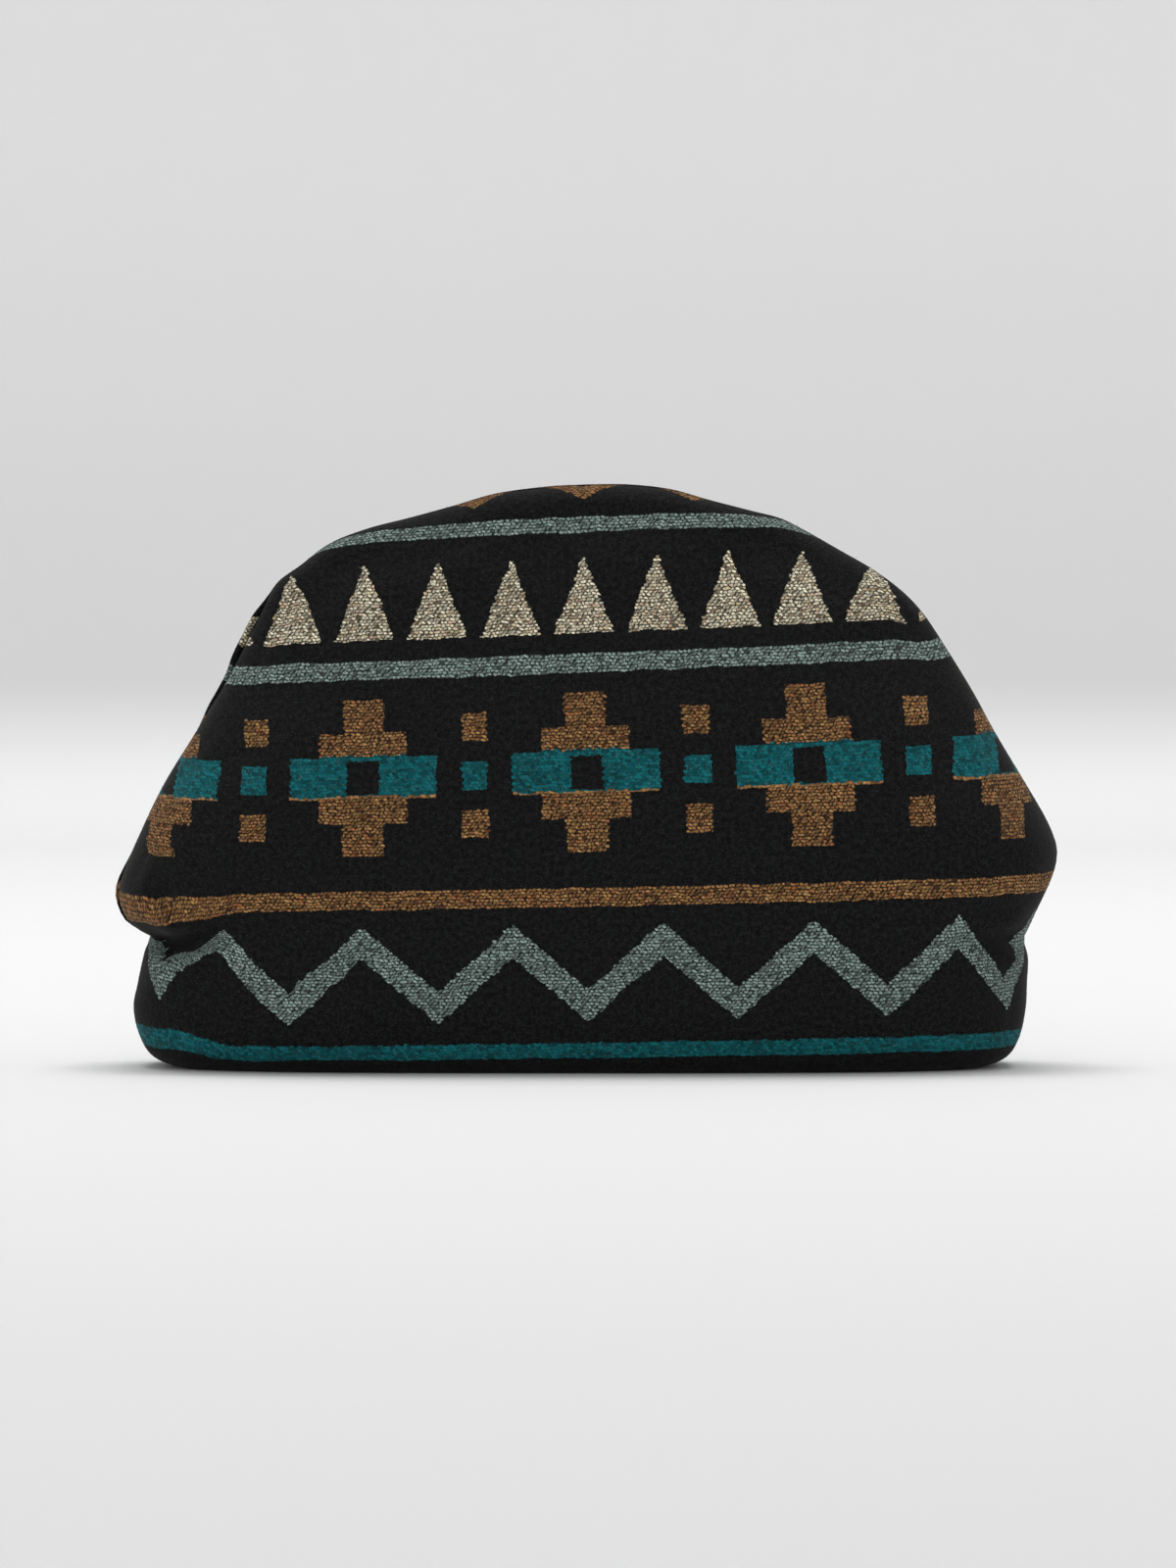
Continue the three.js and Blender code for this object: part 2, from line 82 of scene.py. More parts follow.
# %% Camera
CAMERA_DISTANCE = 4.0
BAG_MIDDLE_TO_FRONT = 0.012
VIEW_HEIGHT = 0.400 * 1600 / 1200
LOOK_HEIGHT = 0.0962
SENSOR_MM = 36
TILT = math.radians(2.0)
camera_data = bpy.data.cameras.new("camera")
camera = bpy.data.objects.new("camera", camera_data)
scene.collection.objects.link(camera)
scene.camera = camera
camera_data.sensor_width = SENSOR_MM
camera_data.lens = SENSOR_MM * (CAMERA_DISTANCE - BAG_MIDDLE_TO_FRONT) / VIEW_HEIGHT
camera_data.clip_end = 50
camera.location = (0, -CAMERA_DISTANCE * math.cos(TILT), LOOK_HEIGHT + CAMERA_DISTANCE * math.sin(TILT))
camera.rotation_euler = (math.pi / 2 - TILT, 0, 0)
print("lens, mm:", round(camera_data.lens, 1))

# %% [markdown]
# The studio is one pale dish: a flat round floor whose rim curves up into a wall all round, so
# no line shows where floor meets wall from any side. A disc is made and its rim is extruded
# and scaled step by step, as a person would do by hand.

# %% The pale dish
FLOOR_RADIUS, WALL_HEIGHT, CURVE, STEPS = 5.0, 5.0, 1.6, 10
bpy.ops.object.select_all(action="DESELECT")
bpy.ops.mesh.primitive_circle_add(vertices=96, radius=FLOOR_RADIUS, fill_type="NGON")
floor = bpy.context.object
floor.name = "studio_dish"
bpy.ops.object.mode_set(mode="EDIT")
bpy.ops.mesh.select_all(action="SELECT")
bpy.ops.mesh.region_to_loop()
radius = FLOOR_RADIUS
step_angle = math.pi / 2 / STEPS
for step in range(STEPS + 1):
    turn = (step + 0.5) * step_angle
    out, up = math.cos(turn) * CURVE * step_angle, math.sin(turn) * CURVE * step_angle
    if step == STEPS:
        out, up = 0.0, WALL_HEIGHT
    bpy.ops.mesh.extrude_edges_move(TRANSFORM_OT_translate={"value": (0, 0, up)})
    grow = (radius + out) / radius
    bpy.ops.transform.resize(value=(grow, grow, 1), center_override=(0, 0, 0))
    radius += out
bpy.ops.object.mode_set(mode="OBJECT")
bpy.ops.object.shade_smooth()
print("studio dish:", len(floor.data.polygons), "faces")

# %% [markdown]
# The real bag is two felted wool halves, front and back, sewn together at the sides and under
# the base. At the top each half folds over a steel wire that holds the dome's shape.
# The form is set out as a tailor would: one outline seen from the front, one section seen
# from the side, and a plan that is a squarish oval low down and rounder high up.
# The shares below say how far out each curve is at each height. The left and right outlines
# differ, because the wool slumps unevenly, with a pinch above the base on each side.

# %% Outline, section and plan, in millimetres
WIDTH, HEIGHT, DEPTH = 320.0, 197.0, 116.0
WOOL, WIRE_INSET, LIP, MOUTH_HALF = 2.2, 7.5, 11.9, 2.7
HINGE_Z, SLOT_FOOT = 116.0, 120.4
LEFT_SHARES = (
    (0, 0), (.865, 0), (.93, .02), (.957, .056), (.969, .105), (.961, .14), (.943, .205), (.932, .2254),
    (.955, .236), (.98, .253), (.996, .28), (1, .303), (.988, .34), (.96, .394), (.905, .487), (.828, .589),
    (.774, .665), (.726, .741), (.692, .795), (.662, .837), (.613, .867), (.552, .904), (.472, .93),
    (.377, .95), (.283, .971), (.198, .991), (.078, 1.004), (0, 1.007),
)
RIGHT_SHARES = (
    (0, 0), (.83, 0), (.894, .018), (.919, .05), (.933, .1), (.936, .15), (.938, .19), (.929, .222),
    (.942, .245), (.951, .262), (.972, .297), (.994, .34), (1, .375), (.984, .416), (.931, .492),
    (.867, .579),
    (.819, .65), (.76, .728), (.714, .784), (.674, .819), (.613, .857), (.535, .894), (.461, .928),
    (.411, .948), (.35, .961), (.255, .981), (.175, .999), (.085, 1.007), (0, 1.007),
)
SECTION_SHARES = (
    (0, 0), (.74, 0), (.87, .018), (.96, .062), (1, .14), (1, .23), (.98, .31), (.92, .406),
    (.825, .508), (.735, .589), (.62, .67), (.49, .761), (.365, .853),
)
LIP_SHARES = ((1.3, 2), (1, .95), (.7, .35), (.245, .03), (0, 0))


def evenly(points, fractions):
    """Points of a line at these fractions of its length."""
    run = np.concatenate([[0], np.cumsum(np.linalg.norm(np.diff(points, axis=0), axis=1))])
    at = np.asarray(fractions) * run[-1]
    return np.stack([np.interp(at, run, points[:, k]) for k in range(points.shape[1])], axis=1)


def smooth_curve(points, count=600):
    """A smooth line through the points, which doesn't swing out between close ones."""
    p = [np.array(q, float) for q in points]
    p = [2 * p[0] - p[1], *p, 2 * p[-1] - p[-2]]
    fine = []
    for a, b, c, d in zip(p, p[1:], p[2:], p[3:]):
        gaps = [max(np.linalg.norm(n - m), 1e-9) ** 0.5 for m, n in ((a, b), (b, c), (c, d))]
        t = np.cumsum([0, *gaps])
        for s in np.linspace(t[1], t[2], 24, endpoint=False):
            ab = ((t[1] - s) * a + (s - t[0]) * b) / gaps[0]
            bc = ((t[2] - s) * b + (s - t[1]) * c) / gaps[1]
            cd = ((t[3] - s) * c + (s - t[2]) * d) / gaps[2]
            abc = ((t[2] - s) * ab + (s - t[0]) * bc) / (t[2] - t[0])
            bcd = ((t[3] - s) * bc + (s - t[1]) * cd) / (t[3] - t[1])
            fine.append(((t[2] - s) * abc + (s - t[1]) * bcd) / (t[2] - t[1]))
    fine.append(p[-2])
    return evenly(np.array(fine), np.linspace(0, 1, count))


def sized(shares, half_size, top=()):
    return smooth_curve([(h * half_size, z * HEIGHT) for h, z in shares] + list(top))


OUTLINE = {-1: sized(LEFT_SHARES, WIDTH / 2), 1: sized(RIGHT_SHARES, WIDTH / 2)}
lip_top = [(h * LIP, HEIGHT - drop * WIRE_INSET) for h, drop in LIP_SHARES]
SECTION = sized(SECTION_SHARES, DEPTH / 2, lip_top)
print("outline points:", len(OUTLINE[-1]), len(OUTLINE[1]), "section points:", len(SECTION))

# %% [markdown]
# A wall has an inside as well, and a lining lies further in. Both are the same curves moved
# inwards along their own normals, so one helper gives every layer.


# %% Helpers for layers
def ease(low, high, value):
    t = np.clip((value - low) / (high - low), 0, 1)
    return t * t * (3 - 2 * t)


def moved_in(points, inset):
    """The curve moved inwards. The inset is a number or a function of the height."""
    along = np.gradient(points, axis=0)
    along /= np.maximum(np.linalg.norm(along, axis=1, keepdims=True), 1e-9)
    along[0], along[-1] = (1, 0), (-1, 0)
    by = inset(points[:, 1]) if callable(inset) else inset
    moved = points + np.stack([-along[:, 1] * by, along[:, 0] * by], axis=1)
    moved[0, 0] = moved[-1, 0] = 0
    return moved


def reach(points, z):
    """How far out the curve is at a height."""
    order = np.argmax(points[:, 0] > 0.6 * points[:, 0].max())
    heights, out = points[order:, 1], points[order:, 0]
    rising = np.maximum.accumulate(heights)
    return np.interp(z, rising, out)


class Layer:
    """One layer of the bag: its side curves, its section and its depth at any place."""

    def __init__(self, sides=0.0, depth=0.0, lip=True):
        self.sides = {s: moved_in(OUTLINE[s], sides) for s in (-1, 1)}
        self.section = moved_in(SECTION, depth)
        self.depth_inset, self.lip = depth, lip

    def plan(self, x, z):
        width = np.where(x < 0, reach(self.sides[-1], z), reach(self.sides[1], z))
        share = np.clip(z / HEIGHT, 0, 1)
        along, across = 3.6 - 1.0 * share, 2.7 - 0.4 * share
        inside = np.clip(np.abs(x) / np.maximum(width, 0.1), 0, 1)
        return reach(self.section, z) * (1 - inside**along) ** (1 / across)

    def edge(self, x, z):
        """The distance to the outline, seen from the front."""
        line = np.concatenate([self.sides[-1] * (-1, 1), self.sides[1][::-1]])[::2]
        start, step = line[:-1], np.diff(line, axis=0)
        spots = np.stack([np.ravel(x), np.ravel(z)], axis=1)[:, None, :] - start
        along = np.clip((spots * step).sum(2) / np.maximum((step**2).sum(1), 1e-9), 0, 1)
        gap = np.linalg.norm(spots - along[..., None] * step, axis=2).min(axis=1)
        return gap.reshape(np.shape(x))

    def depth(self, x, z):
        """Half the bag's thickness at a place seen from the front."""
        y = self.plan(x, z)
        if not self.lip:
            return y
        inset = self.depth_inset if not callable(self.depth_inset) else 0
        near = 1 - np.minimum(1, self.edge(x, z) / (WIRE_INSET - inset))
        lip = (LIP - inset) * np.sqrt(np.maximum(0, 1 - near**2)) * ease(108, 124, z)
        gap = np.clip(0.5 + (y - lip) / 5, 0, 1)
        return lip + (y - lip) * gap + 2.5 * gap * (1 - gap)


wool_outside, wool_inside = Layer(), Layer(WOOL, WOOL)
print("depth at the middle, mm:", round(float(wool_outside.depth(np.array(0.0), np.array(40.0))), 1))

# %% [markdown]
# A soft panel is a net of points, like a fitted sheet. The net follows the outline on all four
# sides, and its lines crowd together where the wool turns: at the seams, the base and the lip.


# %% A net of points inside an outline
def crowded(count):
    return (1 - np.cos(np.pi * np.linspace(0, 1, count))) / 2


def net(layer, columns, rows, foot, shoulder=157.0, top=1e9):
    """X and Z of a net that fills the layer's outline above a height."""
    u, v = crowded(columns), crowded(rows)
    side = {}
    for s in (-1, 1):
        line = layer.sides[s]
        line = line[np.argmax(line[:, 0] > 0.6 * line[:, 0].max()):]
        line = line[np.clip(line[:, 1], foot, top) == line[:, 1]] * (s, 1)
        start = [s * float(reach(layer.sides[s], foot + 0.01)), foot]
        side[s] = np.vstack([start, line])
    low = {s: side[s][side[s][:, 1] <= shoulder] for s in side}
    high = {s: side[s][side[s][:, 1] >= shoulder] for s in side}
    crown = np.vstack([low[-1][-1:], high[-1], high[1][::-1], low[1][-1:]])
    a, b, c = evenly(low[-1], v), evenly(low[1], v), evenly(crown, u)
    floor_line = a[0] + (b[0] - a[0]) * u[:, None]
    U, V = u[None, :, None], v[:, None, None]
    corners = (1 - U) * (1 - V) * a[0] + U * (1 - V) * b[0] + (1 - U) * V * a[-1] + U * V * b[-1]
    grid = (1 - V) * floor_line[None] + V * c[None] + (1 - U) * a[:, None] + U * b[:, None] - corners
    return grid[..., 0], grid[..., 1]


net_x, net_z = net(wool_outside, 151, 91, 0.0)
print("net:", net_x.shape, "spread in x, mm:", round(np.ptp(net_x), 1), "in z:", round(np.ptp(net_z), 1))

# %% [markdown]
# A wool half is cut large enough to turn in at every edge: to the seam at the sides and under
# the base, and over the wire at the mouth. So its net ends in a small rounded fold, then
# crosses its own thickness and comes back as an inner face. The wall is a closed solid.
# Two maps are kept on it. One says which place of the flat woven cloth each point is, so the
# figures follow the cloth round every bend. The other is a plain layout for baked textures.

# %% Layers of a panel become one closed mesh
BASE_ROWS = 16
EDGES = ((0.0, 0.7), (0.16, 0.12), (0.5, 0.0), (1.0, 0.0))


def rim_depth(z):
    """Half the gap between the halves: a seam low down, the open mouth above the hinges."""
    return 0.02 + (MOUTH_HALF - 0.02) * ease(HINGE_Z - 3, SLOT_FOOT + 5, z)


def with_base(x, y, z):
    """Adds flat rows that run back from the net's lowest row to the seam under the base."""
    s = crowded(2 * BASE_ROWS + 1)[: BASE_ROWS][:, None] * 2
    back = 0.15 + (y[0] - 0.15) * np.sin(s * np.pi / 2)
    flat = np.repeat(z[:1], BASE_ROWS, axis=0)
    return np.vstack([np.repeat(x[:1], BASE_ROWS, axis=0), x]), np.vstack([back, y]), np.vstack([flat, z])


def rim_of(rows, columns):
    """Net indexes once round the edge."""
    low = [(0, i) for i in range(columns - 1)]
    right = [(j, columns - 1) for j in range(rows - 1)]
    high = [(rows - 1, i) for i in range(columns - 1, 0, -1)]
    left = [(j, 0) for j in range(rows - 1, 0, -1)]
    return [j * columns + i for j, i in low + right + high + left]


def closed_wall(name, outside, inside, loops, cloth, side):
    """A closed wall between two nets of points of the same size, with loops round its edge."""
    rows, columns = outside.shape[:2]
    rim, count = rim_of(rows, columns), rows * columns
    around = len(rim)
    points = np.vstack([outside.reshape(-1, 3), inside.reshape(-1, 3), *loops])
    u = np.concatenate([[0], np.cumsum(np.linalg.norm(np.diff(outside[rows // 3], axis=0), axis=1))])
    v = np.concatenate([[0], np.cumsum(np.linalg.norm(np.diff(outside[:, columns // 2], axis=0), axis=1))])
    u, v = 0.01 + 0.98 * u / u[-1], v / v[-1]
    quads, bake = [], []
    for start, low, high in ((0, 0.01, 0.82), (count, 0.89, 0.99)):
        for j in range(rows - 1):
            for i in range(columns - 1):
                a = start + j * columns + i
                p, q = low + (high - low) * v[j], low + (high - low) * v[j + 1]
                quad = [a, a + 1, a + 1 + columns, a + columns]
                spots = [(u[i], p), (u[i + 1], p), (u[i + 1], q), (u[i], q)]
                quads.append(quad[::-1] if start else quad)
                bake.append(spots[::-1] if start else spots)
    levels = [rim, *[[2 * count + k * around + n for n in range(around)] for k in range(len(loops))]]
    levels.append([count + n for n in rim])
    for k, (first, second) in enumerate(zip(levels, levels[1:])):
        low, high = 0.830 + 0.012 * k, 0.840 + 0.012 * k
        for n in range(around):
            m = (n + 1) % around
            p, q = 0.01 + 0.98 * n / around, 0.01 + 0.98 * (n + 1) / around
            quads.append([first[m], first[n], second[n], second[m]])
            bake.append([(q, low), (p, low), (p, high), (q, high)])
    inner = [
        min(max(n // columns, 1), rows - 2) * columns + min(max(n % columns, 1), columns - 2)
        for n in rim
    ]
    outward = cloth[rim] - cloth[inner]
    outward /= np.maximum(np.linalg.norm(outward, axis=1, keepdims=True), 1e-9)
    spot, turned, over = outside.reshape(-1, 3)[rim], np.zeros((around, 1)), []
    for loop in loops:
        turned = turned + np.linalg.norm(loop - spot, axis=1, keepdims=True)
        spot = loop
        over.append(cloth[rim] + outward * turned)
    cloth = np.vstack([cloth, cloth, *over])
    if side > 0:
        quads, bake = [q[::-1] for q in quads], [spots[::-1] for spots in bake]
    mesh = bpy.data.meshes.new(name)
    mesh.from_pydata([tuple(p) for p in points * (1, side, 1) * MM], [], quads)
    corner = np.zeros(len(mesh.loops), dtype=int)
    mesh.loops.foreach_get("vertex_index", corner)
    mesh.uv_layers.new(name="cloth").data.foreach_set("uv", (cloth[corner] * MM).ravel())
    mesh.uv_layers.new(name="OFBake").data.foreach_set("uv", np.array(bake).ravel())
    wall = bpy.data.objects.new(name, mesh)
    scene.collection.objects.link(wall)
    shape = bmesh.new()
    shape.from_mesh(mesh)
    bmesh.ops.remove_doubles(shape, verts=shape.verts, dist=0.00002)
    bmesh.ops.recalc_face_normals(shape, faces=shape.faces)
    for face in shape.faces:
        face.smooth = True
    shape.to_mesh(mesh)
    shape.free()
    return wall


def turned_in(outside, inside, gap, steps, thickness):
    """Loops that carry the edge of a wall round a small fold to its inner face."""
    rows, columns = outside.shape[:2]
    rim = rim_of(rows, columns)
    first, last = outside.reshape(-1, 3), inside.reshape(-1, 3)
    open_by = gap(first[rim, 2])
    loops = []
    for share, extra in steps:
        spot = first[rim] * (1 - share) + last[rim] * share
        loops.append(np.column_stack([spot[:, 0], open_by + extra, spot[:, 2]]))
    first[rim] = loops[0]
    last[rim, 1] = open_by + thickness
    return loops[1:]


print("edge loops in a fold:", len(EDGES))

# %% [markdown]
# The wool isn't smooth like a shell. It is pinched in above the base at the lower left, less
# so at the lower right, and it swells above and below each pinch. Slow waves of half a
# millimetre stand for the way thick felt lies over what is inside.


# %% Pinches, swellings and slow waves
LEFT_CREASE = ((-160, 44.6), (-149, 44.6), (-141, 41.8), (-134, 43.5), (-127, 48), (-116, 53), (-106, 55))
RIGHT_CREASE = ((124, 47), (134, 46), (142, 44.5), (149, 43.8), (160, 43.8))


def pinch(x, z, line, tip, mouth, depth, width):
    """A valley that follows a line in from the edge and fades out at its tip."""
    along = np.clip((x - tip) / (mouth - tip), 0, 1.3)
    height = np.interp(x, *np.array(line).T)
    across = (z - height) / (width * (0.6 + 0.4 * along))
    fade = ease(0, 1, along)
    swell = np.exp(-((np.abs(across) - 2.6) ** 2) / 1.6)
    return fade * depth * (0.34 * swell - np.exp(-(across**2)))


def relief(x, z, side):
    waves = 0.45 * np.sin(x / 23 + 1.1 * side) * np.sin(z / 19 + 0.7)
    waves = waves + 0.35 * np.sin(x / 11 - z / 17 + 2.0 * side)
    waves = waves * ease(2, 22, z) * ease(196, 172, z)
    if side < 0:
        left = pinch(x, z, LEFT_CREASE, -108, -148, 12.0, 3.4)
        right = pinch(x, z, RIGHT_CREASE, 130, 148, 10.0, 2.8)
        return waves + left + right
    right = pinch(x, z, RIGHT_CREASE, 122, 150, 7.0, 4.0)
    left = pinch(x, z, LEFT_CREASE, -124, -151, 7.0, 4.0)
    return waves + right + left


def wool_nets(side):
    """The outer and inner nets of a half, and the place of each point on the flat cloth."""
    nets = []
    for layer, foot in ((wool_outside, 0.0), (wool_inside, WOOL)):
        x, z = net(layer, 151, 91, foot)
        if side > 0:
            outwards = 1.2 * ease(114, 124, z) + 1.2 * ease(132, 142, z)
            x = x - outwards * ease(164, 152, z) * ease(-70, -116, x)
            x = x - 1.3 * ease(44, 50, z) * ease(74, 62, z) * ease(-120, -150, x)
        else:
            x = x + 0.7 * ease(118, 132, z) * ease(164, 152, z) * ease(-70, -116, x)
        y = layer.depth(x, z) + relief(x, z, side) * ease(0, 6, layer.edge(x, z))
        y = np.maximum(y, rim_depth(z) + (0.3 if layer is wool_outside else 2.05))
        nets.append(with_base(x, y, z))
    return nets


front_nets = wool_nets(-1)
back_nets = wool_nets(1)
print("front net, rows and columns:", front_nets[0][0].shape)

# %% [markdown]
# Real wool has a little slack between its seams. A cloth simulation finds how that slack lies:
# the outer net becomes a sheet that is held at the seams, the base and the lip. It is a little
# too large and swells gently from what is inside. Each point may move 2.6 mm at most.
# The inner net gets the same move, so the wool keeps its thickness.

# %% Let the slack settle
SLACK, SWELL, FARTHEST = 0.008, 0.12, 2.6


def settled(nets, side):
    """Moves both nets of a half as a simulated sheet of wool moves."""
    x, y, z = nets[0]
    rows, columns = x.shape
    points = np.stack([x, side * y, z], axis=2)[::2, ::2]
    mesh = bpy.data.meshes.new("slack_wool")
    wide = points.shape[1]
    starts = [j * wide + i for j in range(points.shape[0] - 1) for i in range(wide - 1)]
    quads = [(a, a + 1, a + 1 + wide, a + wide) for a in starts]
    mesh.from_pydata((points.reshape(-1, 3) * MM).tolist(), [], [q if side < 0 else q[::-1] for q in quads])
    sheet = bpy.data.objects.new("slack_wool", mesh)
    scene.collection.objects.link(sheet)
    edge = wool_outside.edge(x, z)[::2, ::2]
    held = np.maximum(ease(9, 3, edge), ease(18, 11, edge) * ease(104, 120, points[..., 2]))
    held = np.maximum(held, ease(9, 4, points[..., 2])).ravel()
    pins = sheet.vertex_groups.new(name="held")
    for n, weight in enumerate(held):
        pins.add([n], float(weight), "REPLACE")
    cloth = sheet.modifiers.new("wool", "CLOTH")
    cloth.settings.quality = 6
    cloth.settings.mass = 0.5
    cloth.settings.tension_stiffness = cloth.settings.compression_stiffness = 12
    cloth.settings.bending_stiffness = 3.0
    cloth.settings.shrink_min = cloth.settings.shrink_max = -SLACK
    cloth.settings.use_pressure = True
    cloth.settings.uniform_pressure_force = SWELL
    cloth.settings.vertex_group_mass = "held"
    cloth.settings.effector_weights.gravity = 0.0
    cloth.collision_settings.use_collision = False
    for frame in range(1, 21):
        scene.frame_set(frame)
    done = sheet.evaluated_get(bpy.context.evaluated_depsgraph_get()).to_mesh()
    after = np.array([v.co[:] for v in done.vertices]).reshape(points.shape) / MM
    scene.frame_set(1)
    bpy.data.objects.remove(sheet)
    move = (after - points) * (1 - held.reshape(edge.shape))[..., None]
    far = np.linalg.norm(move, axis=2, keepdims=True)
    move *= FARTHEST * np.tanh(far / FARTHEST) / np.maximum(far, 1e-6)
    j, i = np.arange(rows) / 2, np.arange(columns) / 2
    spread = np.stack([[np.interp(i, np.arange(wide), row[:, k]) for row in move] for k in range(3)], axis=2)
    spread = np.stack([
        [np.interp(j, np.arange(len(move)), spread[:, c, k]) for c in range(columns)] for k in range(3)
    ], axis=2)
    spread = spread.transpose(1, 0, 2)
    kept = round(float(np.abs(spread).max()), 1)
    print("slack of side", side, "moves up to", round(float(far.max()), 1), "mm, kept on an axis", kept)
    return [(a + spread[..., 0], b + side * spread[..., 1], c + spread[..., 2]) for a, b, c in nets]


front_nets, back_nets = settled(front_nets, -1), settled(back_nets, 1)

# %% [markdown]
# Woven figures lie straight on the flat cloth. To know where a point lies on it, the net is
# measured: sideways from its middle line, and up and down from 10 mm above the base. In a
# pinch the cloth goes in and out of the fold, so some of its height is hidden there.


# %% Where each point lies on the flat cloth
def cloth_places(x, y, z, side):
    rows, columns = x.shape
    middle = columns // 2
    step = np.hypot(np.diff(x, axis=1), np.diff(y, axis=1))
    u = np.zeros_like(x)
    right = np.hstack([np.zeros((rows, 1)), np.cumsum(step[:, middle:], axis=1)])
    u[:, middle:] = x[:, middle:middle + 1] + right
    left = np.cumsum(step[:, :middle][:, ::-1], axis=1)[:, ::-1]
    u[:, :middle] = x[:, middle:middle + 1] - left
    u[:BASE_ROWS] = u[BASE_ROWS]
    rise, run = np.diff(z, axis=0), np.hypot(np.diff(z, axis=0), np.diff(y, axis=0))
    near = ease(15, 8, wool_outside.edge(x, z)[1:]) * ease(112, 124, z[1:])
    low = ease(12, 8, z[1:])
    up = rise + (run - rise) * np.clip(near + low, 0, 1)
    v = np.vstack([np.zeros((1, columns)), np.cumsum(up, axis=0)])
    start = np.argmin(np.abs(z - 10), axis=0)
    v = v - v[start, np.arange(columns)] + z[start, np.arange(columns)]
    return u, v


def warp(u, v, side):
    """The cloth lies a little askew, and its height is hidden where it is pinched."""
    tilt = 0.016 + 0.024 * ease(30, 160, v)
    skewed = v - tilt * (u + 66.7) * ease(-175, -120, u)
    shift = 3.2 * np.clip((u + 66.7) / 133.3, -0.2, 1.2) * ease(60, 165, v)
    off = v - np.interp(u, *np.array(LEFT_CREASE).T)
    lift = np.where(off > 0, 7.0 * np.exp(-((off / 14) ** 2)), 10.5 * np.exp(-((off / 36) ** 2)))
    skewed = skewed + lift * ease(-112, -150, u) * np.tanh(off / 3)
    fold = np.interp(v, (42, 55, 67, 80), (-136.7, -129, -124, -121))
    turned = 9.0 * ease(fold + 3, fold - 5, u) + 10.0 * ease(-140, -160, u)
    shift = shift - turned * ease(80, 58, v) * ease(0, 4, off) * (side < 0)
    shift = shift + 8.0 * ease(128, 160, u) * ease(10, 40, v) * ease(110, 75, v)
    return np.stack([(u + shift).ravel(), skewed.ravel()], axis=1)


front_cloth = warp(*cloth_places(*front_nets[0], -1), -1)
back_u, back_v = cloth_places(*back_nets[0], 1)
back_cloth = np.stack([(-back_u + 50).ravel(), back_v.ravel()], axis=1)
print("front cloth, mm across:", round(np.ptp(front_cloth[:, 0])), "up:", round(np.ptp(front_cloth[:, 1])))

# %% Sew the two wool halves
wool = {}
for side, nets, cloth in ((-1, front_nets, front_cloth), (1, back_nets, back_cloth)):
    name = "front_wool" if side < 0 else "back_wool"
    outside, inside = (np.stack(layer, axis=2) for layer in nets)
    loops = turned_in(outside, inside, rim_depth, EDGES, 2.0)
    wool[side] = closed_wall(name, outside, inside, loops, cloth, side)
    corners = [v.co for v in wool[side].data.vertices]
    size = [round(1000 * (max(c[k] for c in corners) - min(c[k] for c in corners)), 1) for k in range(3)]
    print(name, "size in mm:", size, "faces:", len(wool[side].data.polygons))

# %% [markdown]
# Inside the mouth each half has a facing: a black twill strip that shuts the wire's channel.
# Its edges are folded under, so they are thicker than its middle, and two rows of stitches
# hold it. It follows the dome, so it is drawn between two curves set in from the outline.

# %% Strips between two curves
def flat_cloth(net_points):
    """Places on the flat cloth for a net of points, measured along its rows and columns."""
    steps_u = np.linalg.norm(np.diff(net_points, axis=1), axis=2).mean(axis=0)
    steps_v = np.linalg.norm(np.diff(net_points, axis=0), axis=2).mean(axis=1)
    u, v = (np.concatenate([[0], np.cumsum(step)]) for step in (steps_u, steps_v))
    u, v = np.meshgrid(u, v)
    return np.stack([u.ravel(), v.ravel()], axis=1)


def dome_line(inset, foot, count):
    """The dome's curve set in from the outline, from foot to foot, as X and Z."""
    sides = [moved_in(OUTLINE[s], inset) * (s, 1) for s in (-1, 1)]
    line = np.vstack([sides[0], sides[1][::-1]])
    keep = np.flatnonzero(line[:, 1] > foot)
    return evenly(line[keep[0]:keep[-1] + 1], np.linspace(0, 1, count))


FACING_FOOT, FACING_NEAR, FACING_FAR = 134.6, 2.72, 4.08
facings = {}
for side, word in ((-1, "front"), (1, "back")):
    high, low = dome_line(2.7, FACING_FOOT, 170), dome_line(27.0, FACING_FOOT, 170)
    across = np.linspace(0, 1, 15)[:, None, None]
    spots = low[None] * (1 - across) + high[None] * across
    hem = np.abs(across[..., 0] - 0.5) * 2
    thin = 0.25 * (1 - ease(0.55, 0.8, hem)) * np.ones(spots.shape[:2])
    near = np.dstack([spots[..., 0], FACING_NEAR + thin, spots[..., 1]])
    far = np.dstack([spots[..., 0], FACING_FAR + 0 * thin, spots[..., 1]])
    rim = rim_of(*near.shape[:2])
    edge = (near.reshape(-1, 3)[rim] + far.reshape(-1, 3)[rim]) / 2
    facings[side] = closed_wall(f"{word}_mouth_facing", far, near, [edge], flat_cloth(near), side)

# %% [markdown]
# The lining is a second, looser bag of thin twill. It hangs from the facings, passes inside
# the hinges and covers the base board. It uses the same outline, set in by a changing amount.


# %% Linings
LINING_WALL, LINING_WAIST, LINING_NECK, LINING_TOP = 6.6, 82.6, 109.6, 169.5


def lining_inset(extra, at_mouth, mouth_z):
    def inset(z):
        return extra + LINING_WALL + (at_mouth - LINING_WALL) * ease(LINING_WAIST, mouth_z, z)
    return inset


def lining_layer(extra):
    narrow = float(reach(SECTION, LINING_TOP)) - 5.4
    return Layer(lining_inset(extra, 27.3, LINING_NECK), lining_inset(extra, narrow, LINING_TOP), lip=False)


def lining_gap(z):
    return 0.15 + 4.3 * ease(LINING_NECK - 3, LINING_NECK + 5, z)


